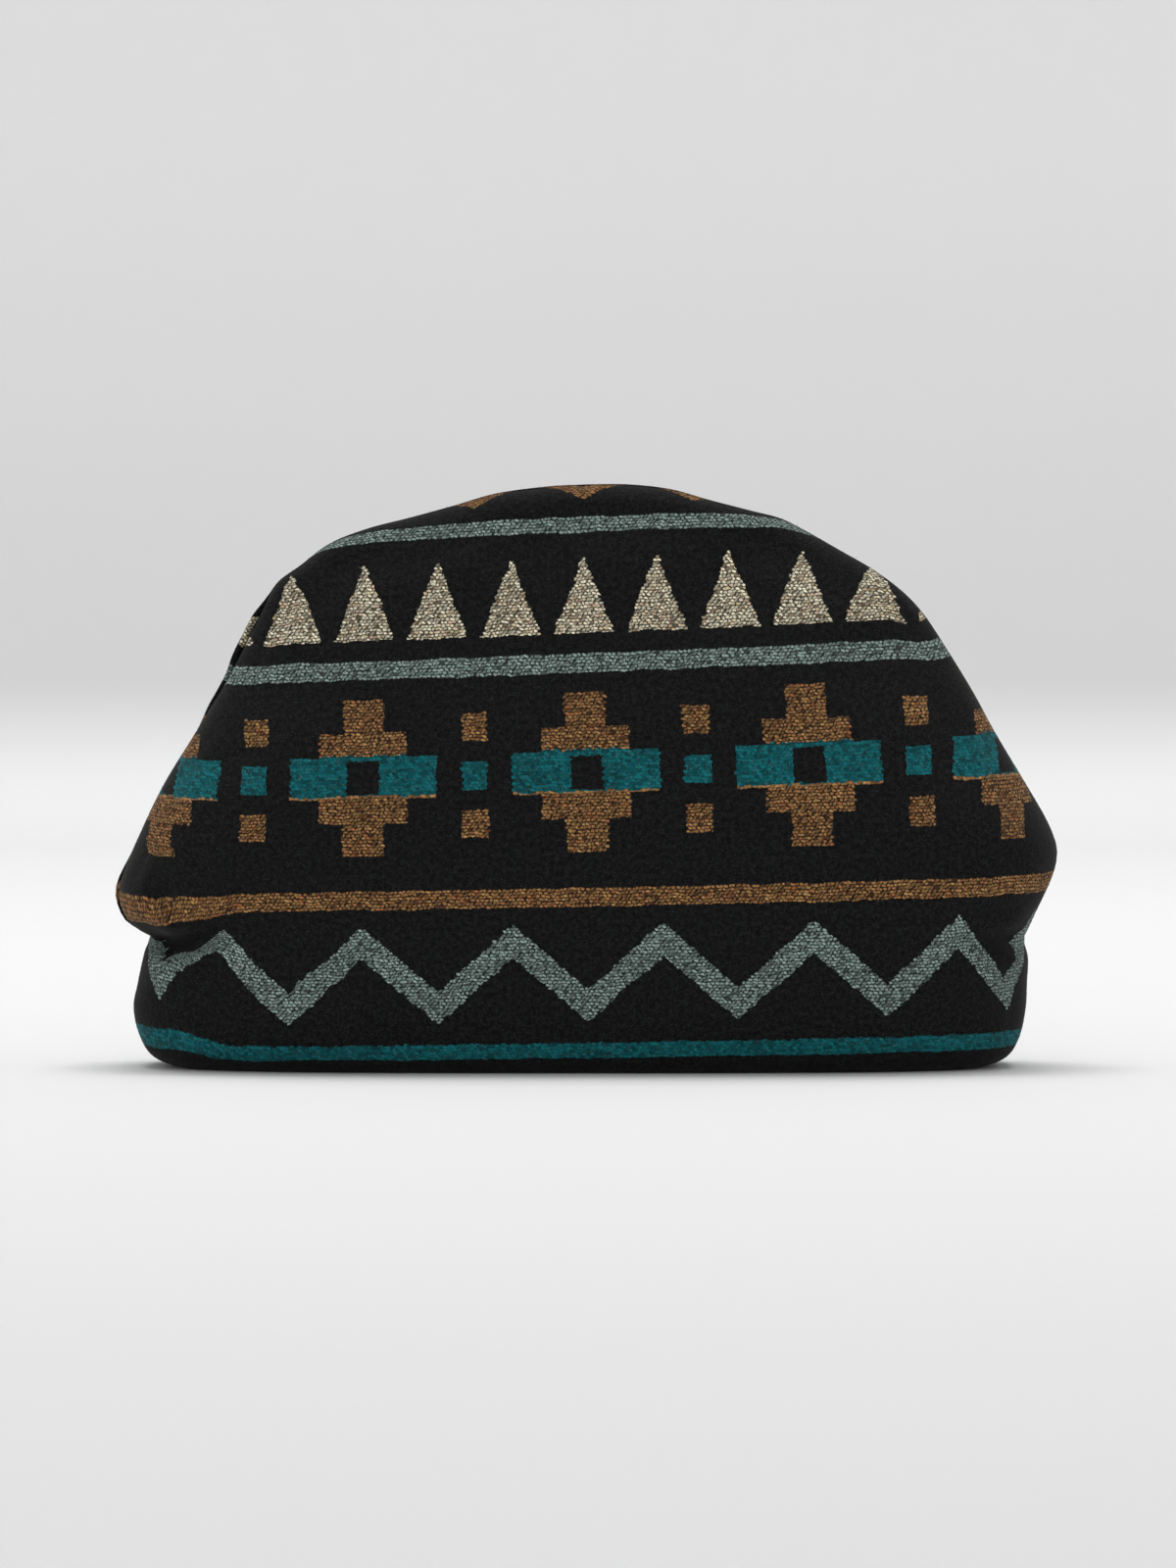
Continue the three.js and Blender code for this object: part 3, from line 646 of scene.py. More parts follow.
def lining_net(extra, side):
    layer = lining_layer(extra)
    foot = LINING_WALL - 1.8 + extra
    x, z = net(layer, 81, 51, foot, shoulder=140.0)
    y = layer.plan(x, np.minimum(z, LINING_TOP))
    y = y + 0.5 * (np.sin(x / 9 + z / 31 + side) * ease(14, 40, z) * ease(150, 120, z) - 1) * ease(0, 9, y)
    return np.stack(with_base(x, np.maximum(y, lining_gap(z) + 0.02 + 0.98 * extra), z), axis=2)


linings = {}
for side, word in ((-1, "front"), (1, "back")):
    outside, inside = lining_net(0.0, side), lining_net(1.0, side)
    loops = turned_in(outside, inside, lining_gap, ((0, 0.6), (0.5, 0.0)), 0.9)
    linings[side] = closed_wall(f"{word}_bag_lining", outside, inside, loops, flat_cloth(outside), side)
    print(linings[side].name, "faces:", len(linings[side].data.polygons))

# %% [markdown]
# A slip pocket is a flat piece of the same twill, hemmed at the top and sewn to the back
# lining on its other three edges. Its mouth stands a little away so that a hand finds it.

# %% Slip pocket
POCKET_HALF, POCKET_FOOT, POCKET_MOUTH, HEM = 74.7, 38.3, 117.7, 9.0
x, z = np.meshgrid(np.linspace(-POCKET_HALF, POCKET_HALF, 61), np.linspace(POCKET_FOOT, POCKET_MOUTH, 37))
behind = lining_layer(1.35).plan(x, z) - 0.55
gape = 1.6 * ease(85, 118, z) * np.cos(x / POCKET_HALF * math.pi / 2) ** 0.7
hem = 0.35 * ease(POCKET_MOUTH - HEM - 0.4, POCKET_MOUTH - HEM + 0.4, z)
outside = np.dstack([x, behind - gape, z])
inside = np.dstack([x, behind - gape - 0.55 - hem, z])
rim = rim_of(*outside.shape[:2])
edge = (outside.reshape(-1, 3)[rim] + inside.reshape(-1, 3)[rim]) / 2
pocket = closed_wall("lining_slip_pocket", outside, inside, [edge], flat_cloth(outside), 1)
pocket_face = inside
print("pocket, mm:", round(2 * POCKET_HALF), "by", round(POCKET_MOUTH - POCKET_FOOT))

# %% [markdown]
# Stitches are what tells sewn cloth from moulded plastic. One stitch is a small spindle. It is
# laid again and again along a line, sunk a third of its thickness into the cloth.


# %% Rows of stitches
def stitch_row(name, path, outwards, length=2.6, gap=0.9, radius=0.27):
    """Spindles laid end to end along a path, each with its own few faces."""
    run = float(np.linalg.norm(np.diff(path, axis=0), axis=1).sum())
    count = int(run / (length + gap))
    points, faces = [], []
    for k in range(count):
        low = (k + 0.5 * gap / (length + gap)) / count
        ends = evenly(path, [low, low + length / (length + gap) / count])
        along = (ends[1] - ends[0]) / max(np.linalg.norm(ends[1] - ends[0]), 1e-6)
        out = outwards - along * np.dot(along, outwards)
        out = out / np.linalg.norm(out)
        wide = np.cross(along, out)
        start = len(points)
        points.append(ends[0])
        for share in (0.12, 0.5, 0.88):
            thick = radius * (1.0 if share == 0.5 else 0.8)
            lift = 0.25 * radius * math.sin(share * math.pi)
            for turn in range(6):
                t = turn * math.pi / 3
                ring = out * (math.cos(t) * thick + lift) + wide * math.sin(t) * thick
                points.append(ends[0] + (ends[1] - ends[0]) * share + ring)
        points.append(ends[1])
        for n in range(6):
            m = (n + 1) % 6
            faces.append([start, start + 1 + m, start + 1 + n])
            for ring in (0, 6):
                a, b = start + 1 + ring + n, start + 1 + ring + m
                faces.append([a, b, b + 6, a + 6])
            faces.append([start + 13 + n, start + 13 + m, start + 19])
    mesh = bpy.data.meshes.new(name)
    mesh.from_pydata([tuple(p * MM) for p in points], [], faces)
    row = bpy.data.objects.new(name, mesh)
    scene.collection.objects.link(row)
    shape = bmesh.new()
    shape.from_mesh(mesh)
    bmesh.ops.recalc_face_normals(shape, faces=shape.faces)
    for face in shape.faces:
        face.smooth = True
    shape.to_mesh(mesh)
    shape.free()
    return row


def joined(name, parts):
    bpy.ops.object.select_all(action="DESELECT")
    for part in parts:
        part.select_set(True)
    bpy.context.view_layer.objects.active = parts[0]
    bpy.ops.object.join()
    parts[0].name = name
    return parts[0]


facing_stitches = {}
for side, word in ((-1, "front"), (1, "back")):
    rows = []
    for k, inset in enumerate((4.6, 24.9)):
        line = dome_line(inset, FACING_FOOT + 1.9, 300)
        path = np.column_stack([line[:, 0], np.full(len(line), side * (FACING_NEAR - 0.02)), line[:, 1]])
        rows.append(stitch_row(f"{word}_row_{k}", path, np.array([0.0, -side, 0.0])))
    facing_stitches[side] = joined(f"{word}_facing_stitches", rows)
print("stitch faces on a facing:", len(facing_stitches[-1].data.polygons))

# %% Stitches round the pocket
def on_pocket(xs, zs):
    rows, columns = pocket_face.shape[:2]
    i = (np.asarray(xs) + POCKET_HALF) / (2 * POCKET_HALF) * (columns - 1)
    j = (np.asarray(zs) - POCKET_FOOT) / (POCKET_MOUTH - POCKET_FOOT) * (rows - 1)
    i0, j0 = np.minimum(i.astype(int), columns - 2), np.minimum(j.astype(int), rows - 2)
    s, t = (i - i0)[:, None], (j - j0)[:, None]
    low = pocket_face[j0, i0] * (1 - s) + pocket_face[j0, i0 + 1] * s
    high = pocket_face[j0 + 1, i0] * (1 - s) + pocket_face[j0 + 1, i0 + 1] * s
    return low * (1 - t) + high * t - np.array([0, 0.05, 0])


edge = POCKET_HALF - 2.2
down = np.concatenate([np.full(60, -edge), np.linspace(-edge, edge, 120)[1:-1], np.full(60, edge)])
height = np.concatenate([np.linspace(116, 41, 60), np.full(118, 41.0), np.linspace(41, 116, 60)])
hem_x = np.linspace(-edge, edge, 150)
hem_z = np.full(150, POCKET_MOUTH - HEM + 1.2)
to_the_front = np.array([0.0, -1.0, 0.0])
rows = [
    stitch_row("pocket_sides", on_pocket(down, height), to_the_front),
    stitch_row("pocket_hem", on_pocket(hem_x, hem_z), to_the_front),
]
pocket_stitches = joined("pocket_stitches", rows)
print("stitch faces on the pocket:", len(pocket_stitches.data.polygons))

# %% [markdown]
# The cloth is a jacquard: black felted wool, with figures where coloured yarn comes to the
# face. The colour changes with the height, stripe by stripe, and the figures say only where
# the coloured yarn shows. So two small rules draw the whole cloth: a stripe table and a mask.
# The figures are a generic design in even rows: plain bars, zigzags, square crosses and
# teeth. Each row repeats at its own even step, counted from the middle of the bag.

# %% Helpers for node sums
def shade(red, green, blue):
    """A colour given in screen values from 0 to 255."""
    def light(c):
        c = c / 255
        return c / 12.92 if c <= 0.04045 else ((c + 0.055) / 1.055) ** 2.4
    return (light(red), light(green), light(blue), 1)


class Sums:
    """Writes arithmetic as Math nodes in one node tree."""

    def __init__(self, tree):
        self.tree = tree
        self.made = 0

    def node(self, kind, **settings):
        made = self.tree.nodes.new(kind)
        made.location = (180 * (self.made % 16), -170 * (self.made // 16))
        self.made += 1
        for key, value in settings.items():
            setattr(made, key, value)
        return made

    def join(self, value, socket):
        if isinstance(value, (int, float, tuple)):
            socket.default_value = value
        else:
            self.tree.links.new(value, socket)

    def do(self, operation, *values):
        made = self.node("ShaderNodeMath", operation=operation)
        for value, socket in zip(values, made.inputs):
            self.join(value, socket)
        return made.outputs[0]

    def add(self, a, b): return self.do("ADD", a, b)
    def sub(self, a, b): return self.do("SUBTRACT", a, b)
    def mul(self, a, b): return self.do("MULTIPLY", a, b)
    def size(self, a): return self.do("ABSOLUTE", a)
    def less(self, a, b): return self.do("LESS_THAN", a, b)
    def line(self, a, slope, start): return self.do("MULTIPLY_ADD", a, slope, start)

    def every(self, *tests):
        result = tests[0]
        for test in tests[1:]:
            result = self.do("MULTIPLY", result, test)
        return result

    def some(self, *tests):
        result = tests[0]
        for test in tests[1:]:
            result = self.do("MAXIMUM", result, test)
        return result

    def unless(self, test, bar): return self.do("MULTIPLY", test, self.sub(1, bar))
    def between(self, low, a, high): return self.every(self.less(low, a), self.less(a, high))

    def mix(self, share, a, b):
        made = self.node("ShaderNodeMix", data_type="RGBA")
        self.join(share, made.inputs[0])
        self.join(a, made.inputs[6])
        self.join(b, made.inputs[7])
        return made.outputs[2]

    def slope(self, value, low, high):
        made = self.node("ShaderNodeMapRange", interpolation_type="SMOOTHSTEP")
        for socket, item in zip(made.inputs, (value, low, high)):
            self.join(item, socket)
        return made.outputs[0]

    def noise(self, place, scale, detail=2.0, output=0):
        made = self.node("ShaderNodeTexNoise")
        self.tree.links.new(place, made.inputs["Vector"])
        made.inputs["Scale"].default_value = scale
        made.inputs["Detail"].default_value = detail
        return made.outputs[output]

    def chance(self, a, b):
        """A fixed chance number for each cell."""
        pair = self.node("ShaderNodeCombineXYZ")
        self.join(a, pair.inputs[0])
        self.join(b, pair.inputs[1])
        made = self.node("ShaderNodeTexWhiteNoise", noise_dimensions="2D")
        self.tree.links.new(pair.outputs[0], made.inputs["Vector"])
        return made.outputs[0]


print("black felt in linear colour:", [round(c, 4) for c in shade(17, 17, 18)])

# %% [markdown]
# Heights are in millimetres above the base on the flat cloth. The stripe table gives the
# colour of the yarn above each height, and a darker copy of it that is painted shade in the
# gaps between its loops.

# %% The stripe table
# Each colour pair is the yarn's own colour and a darker copy of it, which is painted shade in the gaps
# between the loops.
TAN, GREY = ((168, 123, 76), (40, 30, 23)), ((152, 173, 166), (40, 47, 46))
TEAL, CREAM = ((16, 104, 110), (9, 52, 57)), ((250, 241, 212), (72, 67, 55))
STRIPES = (
    (-80.0, *TAN), (0.0, *TEAL), (14.0, *GREY), (53.0, *TAN), (93.0, *TEAL), (107.0, *TAN),
    (130.0, *GREY), (142.0, *CREAM), (176.0, *GREY), (188.0, *TAN), (216.0, *TEAL),
)
LOWEST, HIGHEST = -80.0, 240.0


def stripe_colours(sums, height, which):
    """The stripe table as a colour ramp."""
    place = sums.line(height, 1 / (HIGHEST - LOWEST), -LOWEST / (HIGHEST - LOWEST))
    ramp = sums.node("ShaderNodeValToRGB")
    ramp.color_ramp.interpolation = "CONSTANT"
    stops = ramp.color_ramp.elements
    stops[0].color = shade(*STRIPES[0][which])
    stops[1].position = (STRIPES[1][0] - LOWEST) / (HIGHEST - LOWEST)
    stops[1].color = shade(*STRIPES[1][which])
    for start, *colours in STRIPES[2:]:
        stop = stops.new((start - LOWEST) / (HIGHEST - LOWEST))
        stop.color = shade(*colours[which - 1])
    sums.join(place, ramp.inputs[0])
    return ramp.outputs[0]


ends = [row[0] for row in STRIPES[1:]] + [HIGHEST]
TEAL_ROWS = [(row[0], end) for row, end in zip(STRIPES, ends) if row[1] == TEAL[0]]
print("stripes:", len(STRIPES), "of which teal:", len(TEAL_ROWS))

# %% [markdown]
# The mask is built row by row. `u` runs round the bag from its middle and `v` is the height
# on the flat cloth. A row only needs the distance to the nearest of its evenly spaced axes.

# %% The figures
BARS = ((-46.0, -38.0), (4.0, 10.0), (56.0, 62.0), (133.0, 139.0), (180.0, 185.0))
CROSS_STEP, CROSS_HEIGHT = 76.0, 100.0
TOOTH_STEP, TOOTH_HALF, TOOTH_FOOT, TOOTH_TIP = 25.4, 10.5, 146.0, 172.0


def off_axis(s, u, step, start=0.0):
    """Distance to the nearest of the axes that stand one step apart."""
    part = s.do("FRACT", s.line(u, 1 / step, 0.5 - start / step))
    return s.mul(s.size(s.sub(part, 0.5)), step)


def zigzag(s, u, v, low, high, thick, step):
    """A line of even thickness that runs up and down between two heights."""
    climb = (high - low - thick) / (step / 2)
    middle = s.line(off_axis(s, u, step), climb, low + thick / 2)
    return s.less(s.size(s.sub(v, middle)), thick / 2)


def crosses(s, u, v):
    """Square-armed crosses with an open middle, and a column of squares between them."""
    a, b = off_axis(s, u, CROSS_STEP), off_axis(s, u, CROSS_STEP, CROSS_STEP / 2)
    m = s.size(s.sub(v, CROSS_HEIGHT))
    arms = [s.every(s.less(a, half), s.less(m, tall)) for half, tall in ((7, 26), (25, 7), (15, 15))]
    cross = s.unless(s.some(*arms), s.every(s.less(a, 5.5), s.less(m, 5.5)))
    squares = [s.every(s.less(b, 4.5), s.less(s.size(s.sub(m, high)), 4.5)) for high in (0, 16)]
    return s.some(cross, *squares)


def teeth(s, u, v):
    """A row of plain triangles that stand on one line."""
    slope = TOOTH_HALF / (TOOTH_TIP - TOOTH_FOOT)
    half = s.line(v, -slope, slope * TOOTH_TIP)
    return s.every(s.less(off_axis(s, u, TOOTH_STEP), half), s.less(TOOTH_FOOT, v))


def figure_mask(s, u, v):
    bars = [s.between(low, v, high) for low, high in BARS]
    zigzags = [zigzag(s, u, v, 17, 50, 11, 50.8), zigzag(s, u, v, 191, 213, 8, 38.0)]
    return s.some(*bars, *zigzags, crosses(s, u, v), teeth(s, u, v))


print("crosses every", CROSS_STEP, "mm, teeth every", TOOTH_STEP, "mm")

# %% [markdown]
# Up close the coloured yarn shows as short slanted loops in rows, each row set half a loop
# over. So the cloth is split into cells of one loop, and each cell draws one rounded loop,
# whose edge fades into a darker copy of the yarn's colour: painted shade between the loops.
# The mask is looked up halfway between the cell's own spot and the true place, so that a
# figure's edge is woven in small steps but isn't blocky.
# All of it goes in one node group, which the wool and its loose fibres share.

# %% The woven cloth as a node group
LOOP_WIDE, LOOP_HIGH = 1.50, 1.07


def woven_cloth():
    group = bpy.data.node_groups.new("woven_cloth", "ShaderNodeTree")
    for title in ("Color", "Height", "Figure"):
        kind = "NodeSocketColor" if title == "Color" else "NodeSocketFloat"
        group.interface.new_socket(title, in_out="OUTPUT", socket_type=kind)
    s = Sums(group)
    place = s.node("ShaderNodeUVMap", uv_map="cloth").outputs[0]
    split = s.node("ShaderNodeSeparateXYZ")
    group.links.new(place, split.inputs[0])
    ragged, drift = s.noise(place, 900.0, 1.0), s.noise(place, 110.0, 1.0)
    u = s.add(s.mul(split.outputs[0], 1000.0), s.add(s.line(ragged, 1.3, -0.65), s.line(drift, 2.0, -1.0)))
    v = s.add(s.mul(split.outputs[1], 1000.0), s.add(s.line(ragged, -0.7, 0.35), s.line(drift, -1.4, 0.7)))
    rows = s.mul(v, 1 / LOOP_HIGH)
    row = s.do("FLOOR", rows)
    odd = s.do("MODULO", s.size(row), 2.0)
    columns = s.add(s.mul(u, 1 / LOOP_WIDE), s.mul(odd, 0.5))
    column = s.do("FLOOR", columns)
    chance = s.chance(column, row)
    other = s.chance(s.add(column, 31.7), s.add(row, 11.3))
    cell_u = s.mul(s.sub(s.add(column, s.line(chance, 0.6, 0.2)), s.mul(odd, 0.5)), 0.5 * LOOP_WIDE)
    cell_v = s.mul(s.add(row, s.line(other, 0.5, 0.25)), 0.5 * LOOP_HIGH)
    mask = figure_mask(s, s.line(u, 0.5, cell_u), s.line(v, 0.5, cell_v))
    stripe_v = s.line(v, 0.5, s.mul(s.add(row, other), 0.5 * LOOP_HIGH))
    yarn = stripe_colours(s, stripe_v, 1)
    # painted shade: a darker copy of each stripe's yarn colour, shown between the loops
    gap = stripe_colours(s, stripe_v, 2)
    third = s.do("FRACT", s.mul(chance, 5.7))
    fourth = s.do("FRACT", s.mul(other, 7.3))
    across = s.sub(s.sub(columns, column), s.line(other, 0.36, 0.32))
    up = s.sub(s.sub(rows, row), s.line(chance, 0.3, 0.35))
    lean = s.add(across, s.mul(up, s.line(third, 1.0, -0.7)))
    wide = s.mul(lean, s.line(fourth, 0.7, 1.6))
    tall = s.mul(up, s.line(third, 0.6, 1.55))
    far = s.do("SQRT", s.add(s.do("POWER", wide, 2.0), s.do("POWER", tall, 2.0)))
    ragged_far = s.add(far, s.line(s.noise(place, 2100.0, 2.0), 1.1, -0.55))
    teal = s.some(*[s.between(low, stripe_v, high) for low, high in TEAL_ROWS])
    # each loop's rounded edge fades into that painted shade
    loop = s.sub(1, s.slope(ragged_far, s.line(teal, 0.2, 0.50), s.line(teal, 0.5, 1.10)))
    loop = s.every(loop, s.slope(fourth, s.line(teal, -0.3, -0.02), 0.10))
    fine = s.noise(place, 2600.0, 2.0)
    cloud = s.noise(place, 45.0, 3.0)
    tone = s.add(s.line(third, 0.80, 0.40), s.add(s.line(fine, 0.9, -0.45), s.line(cloud, 0.5, -0.25)))
    lit = s.node("ShaderNodeVectorMath", operation="SCALE")
    parts = s.node("ShaderNodeSeparateColor")
    group.links.new(yarn, parts.inputs[0])
    warm = s.slope(s.sub(parts.outputs[0], parts.outputs[2]), 0.05, 0.3)
    rare = s.mix(s.less(fourth, 0.12), shade(196, 158, 96), shade(186, 104, 64))
    group.links.new(s.mix(s.every(s.less(fourth, 0.26), warm, 0.45), yarn, rare), lit.inputs[0])
    s.join(tone, lit.inputs[3])
    # the lit loop colour, laid over the painted shade between the loops
    cloth = s.mix(loop, gap, lit.outputs[0])
    hairs = s.slope(s.noise(place, 1700.0, 4.0), 0.50, 0.78)
    flecks = s.slope(s.noise(place, 620.0, 2.0), 0.35, 0.70)
    black = s.mix(s.add(s.mul(hairs, 0.7), s.mul(flecks, 0.25)), shade(7, 8, 8), shade(48, 49, 49))
    colour = s.mix(mask, black, cloth)
    felt = s.noise(place, 1100.0, 3.0)
    height = s.add(s.mul(s.every(mask, loop), 0.75), s.mul(felt, 0.45))
    out = s.node("NodeGroupOutput")
    group.links.new(colour, out.inputs[0])
    group.links.new(height, out.inputs[1])
    group.links.new(mask, out.inputs[2])
    print("nodes in the woven cloth:", len(group.nodes))
    return group


cloth_group = woven_cloth()

# %% [markdown]
# Wool has a nap that catches light at a grazing angle. Sheen stands for it, and a high
# roughness keeps the felt matt. The loops' height goes through a Bump node.


# %% The wool's material
def new_material(name, roughness, **sockets):
    material = bpy.data.materials.new(name)
    material.use_nodes = True
    surface = material.node_tree.nodes["Principled BSDF"]
    surface.inputs["Roughness"].default_value = roughness
    for key, value in sockets.items():
        surface.inputs[key.replace("_", " ")].default_value = value
    return material, Sums(material.node_tree), surface


def bumped(s, surface, height, depth, strength=1.0):
    bump = s.node("ShaderNodeBump")
    bump.inputs["Distance"].default_value = depth
    bump.inputs["Strength"].default_value = strength
    s.join(height, bump.inputs["Height"])
    s.tree.links.new(bump.outputs[0], surface.inputs["Normal"])


def wool_material(name, depth):
    material, s, surface = new_material(
        name, 0.92, Sheen_Weight=0.07, Sheen_Roughness=0.4, Specular_IOR_Level=0.12)
    surface.inputs["Sheen Tint"].default_value = shade(190, 186, 180)
    group = s.node("ShaderNodeGroup", node_tree=cloth_group)
    s.tree.links.new(group.outputs["Color"], surface.inputs["Base Color"])
    bumped(s, surface, group.outputs["Height"], depth)
    return material


felt = wool_material("felted_wool", 0.0004)
for side in wool:
    wool[side].data.materials.append(felt)
print("wool material on:", [wool[side].name for side in wool])

# %% [markdown]
# Felted wool is never clean at its edge: short loose fibres stand off it and blur the outline.
# Each fibre here is a closed sliver of four faces with its root in the cloth. It keeps its
# root's place on the flat cloth, so it takes the colour of the yarn that it grows from, mixed
# with a paler grey, or beige over the figures, which is painted sheen on the thin fibres.

# %% Loose fibres
def fibres(name, wall, count, seed):
    """Slivers scattered over a wall's outer face."""
    chance = np.random.default_rng(seed)
    mesh = wall.data
    bake = mesh.uv_layers["OFBake"].data
    outer = [
        p for p in mesh.polygons
        if bake[p.loop_start].uv.y < 0.825 and p.area > 1e-9 and p.center.z > 0.003
    ]
    area = np.array([p.area for p in outer])
    picks = chance.choice(len(outer), size=count, p=area / area.sum())
    cloth_map = mesh.uv_layers["cloth"].data
    corners = [[mesh.vertices[v].co[:] for v in outer[k].vertices] for k in range(len(outer))]
    places = [[cloth_map[i].uv[:] for i in p.loop_indices] for p in outer]
    roots, maps, normals = np.zeros((count, 3)), np.zeros((count, 2)), np.zeros((count, 3))
    for n, k in enumerate(picks):
        share = chance.dirichlet(np.ones(len(corners[k])))
        roots[n] = share @ np.array(corners[k])
        maps[n] = share @ np.array(places[k])
        normals[n] = outer[k].normal
    aim = chance.normal(size=(count, 3))
    aim -= normals * (aim * normals).sum(1, keepdims=True)
    aim /= np.linalg.norm(aim, axis=1, keepdims=True)
    side = np.cross(normals, aim)
    lift = chance.uniform(0.12, 0.95, (count, 1)) ** 1.5
    length = chance.uniform(0.0006, 0.0016, (count, 1))
    thick = chance.uniform(0.00003, 0.00006, (count, 1))
    roots = roots - normals * 0.0001
    tips = roots + (aim * np.sqrt(1 - lift**2) + normals * lift) * length
    tips[:, 2] = np.maximum(tips[:, 2], 0.0003)
    foot = [roots + side * thick, roots - side * thick, roots + normals * thick * 1.6]
    points = np.stack([*foot, tips], axis=1)
    base = np.arange(count)[:, None] * 4
    faces = np.concatenate([base + np.array(f) for f in ((0, 1, 3), (1, 2, 3), (2, 0, 3), (0, 2, 1))], axis=1)
    made = bpy.data.meshes.new(name)
    made.from_pydata(points.reshape(-1, 3).tolist(), [], faces.reshape(-1, 3).tolist())
    made.uv_layers.new(name="cloth").data.foreach_set("uv", np.repeat(maps, 12, axis=0).ravel())
    wide = int(math.ceil(math.sqrt(count)))
    cell = np.stack([np.arange(count) % wide, np.arange(count) // wide], axis=1) / wide
    inside = np.array([(.1, .1), (.9, .1), (.5, .9)] * 4) / wide
    made.uv_layers.new(name="OFBake").data.foreach_set("uv", (cell[:, None, :] + inside[None]).ravel())
    nap = bpy.data.objects.new(name, made)
    scene.collection.objects.link(nap)
    return nap


nap_material, s, surface = new_material("loose_fibres", 0.8, Specular_IOR_Level=0.2, Sheen_Weight=0.1)
group = s.node("ShaderNodeGroup", node_tree=cloth_group)
# painted sheen: the fibres are lightened towards pale grey over black and beige over the figures
painted_fibre_sheen = s.mix(group.outputs["Figure"], shade(74, 74, 75), shade(168, 156, 134))
s.tree.links.new(s.mix(0.42, group.outputs["Color"], painted_fibre_sheen), surface.inputs["Base Color"])
nap = {}
for side, word in ((-1, "front"), (1, "back")):
    nap[side] = fibres(f"{word}_wool_nap", wool[side], 34000, 11 + side)
    nap[side].data.materials.append(nap_material)
    print(nap[side].name, "fibres:", len(nap[side].data.polygons) // 4)

# %% [markdown]
# Twill is woven so that each thread steps one over from the row below, which draws fine
# slanted ribs. A wave across the cloth's own map gives them, and noise breaks them up a little.
# The colour follows the ribs' height, lighter on the crests and darker in the grooves, which is
# painted shade; the noise adds random uneven tone.

# %% Twill, thread
def twill(name, light, dark, pitch, roughness=0.8):
    material, s, surface = new_material(
        name, roughness, Sheen_Weight=0.1, Sheen_Roughness=0.5, Specular_IOR_Level=0.25)
    place = s.node("ShaderNodeUVMap", uv_map="cloth").outputs[0]
    split = s.node("ShaderNodeSeparateXYZ")
    s.tree.links.new(place, split.inputs[0])
    slant = s.add(s.mul(split.outputs[0], 1000 / pitch), s.mul(split.outputs[1], 1000 / pitch))
    rib = s.size(s.sub(s.do("FRACT", slant), 0.5))
    thread = s.size(s.sub(s.do("FRACT", s.mul(s.sub(split.outputs[0], split.outputs[1]), 700 / pitch)), 0.5))
    weave = s.add(s.mul(rib, 1.4), s.mul(thread, 0.6))
    uneven = s.noise(place, 160.0, 4.0)
    # painted shade: darker in the grooves between the ribs, lighter on their crests; the noise is random
    # uneven tone
    tone = s.slope(s.add(weave, s.mul(uneven, 0.9)), 0.4, 1.5)
    s.tree.links.new(s.mix(tone, shade(*dark), shade(*light)), surface.inputs["Base Color"])
    bumped(s, surface, weave, 0.00012)
    return material


def thread_material(name, light, dark):
    material, s, surface = new_material(name, 0.6, Sheen_Weight=0.15, Specular_IOR_Level=0.3)
    place = s.node("ShaderNodeTexCoord").outputs["Object"]
    twist = s.node("ShaderNodeTexWave", bands_direction="DIAGONAL")
    s.tree.links.new(place, twist.inputs["Vector"])
    twist.inputs["Scale"].default_value = 700
    twist.inputs["Distortion"].default_value = 2
    # painted shade: the colour follows the twist's bump, darker in the grooves between the plies
    s.tree.links.new(s.mix(twist.outputs[1], shade(*dark), shade(*light)), surface.inputs["Base Color"])
    bumped(s, surface, twist.outputs[1], 0.00006)
    return material


black_twill = twill("black_twill", (38, 38, 40), (18, 18, 19), 0.85)
lining_twill = twill("lining_twill", (62, 62, 66), (34, 34, 38), 0.7)
thread = thread_material("black_thread", (44, 44, 46), (20, 20, 22))
for side in (-1, 1):
    facings[side].data.materials.append(black_twill)
    linings[side].data.materials.append(lining_twill)
    facing_stitches[side].data.materials.append(thread)
pocket.data.materials.append(lining_twill)
pocket_stitches.data.materials.append(thread)
print("cloth materials: 3")

# %% [markdown]
# The metal parts come from the CAD model, and only their finish is made here. Drawn steel wire
# has fine scratches along its length and duller worn spots. The snap is brass-plated and
# brushed in rings, and the hidden board is a matt plastic sheet.


# %% Metal and plastic
def metal(name, light, dark, roughness, streak):
    material, s, surface = new_material(name, roughness, Metallic=1.0)
    place = s.node("ShaderNodeTexCoord").outputs["Object"]
    mapping = s.node("ShaderNodeMapping")
    mapping.inputs["Scale"].default_value = streak
    s.tree.links.new(place, mapping.inputs[0])
    scratches = s.noise(mapping.outputs[0], 400.0, 6.0)
    worn = s.slope(s.noise(place, 90.0, 4.0), 0.45, 0.75)
    s.tree.links.new(s.mix(worn, shade(*light), shade(*dark)), surface.inputs["Base Color"])
    rough = s.add(s.line(scratches, 0.22, roughness - 0.11), s.mul(worn, 0.15))
    s.tree.links.new(rough, surface.inputs["Roughness"])
    bumped(s, surface, scratches, 0.00004)
    return material


def plastic(name, light, dark):
    material, s, surface = new_material(name, 0.55, Specular_IOR_Level=0.4)
    place = s.node("ShaderNodeTexCoord").outputs["Object"]
    pebble = s.node("ShaderNodeTexVoronoi")
    s.tree.links.new(place, pebble.inputs["Vector"])
    pebble.inputs["Scale"].default_value = 900
    cloud = s.noise(place, 40.0, 4.0)
    s.tree.links.new(s.mix(cloud, shade(*dark), shade(*light)), surface.inputs["Base Color"])
    bumped(s, surface, pebble.outputs[0], 0.00008)
    return material


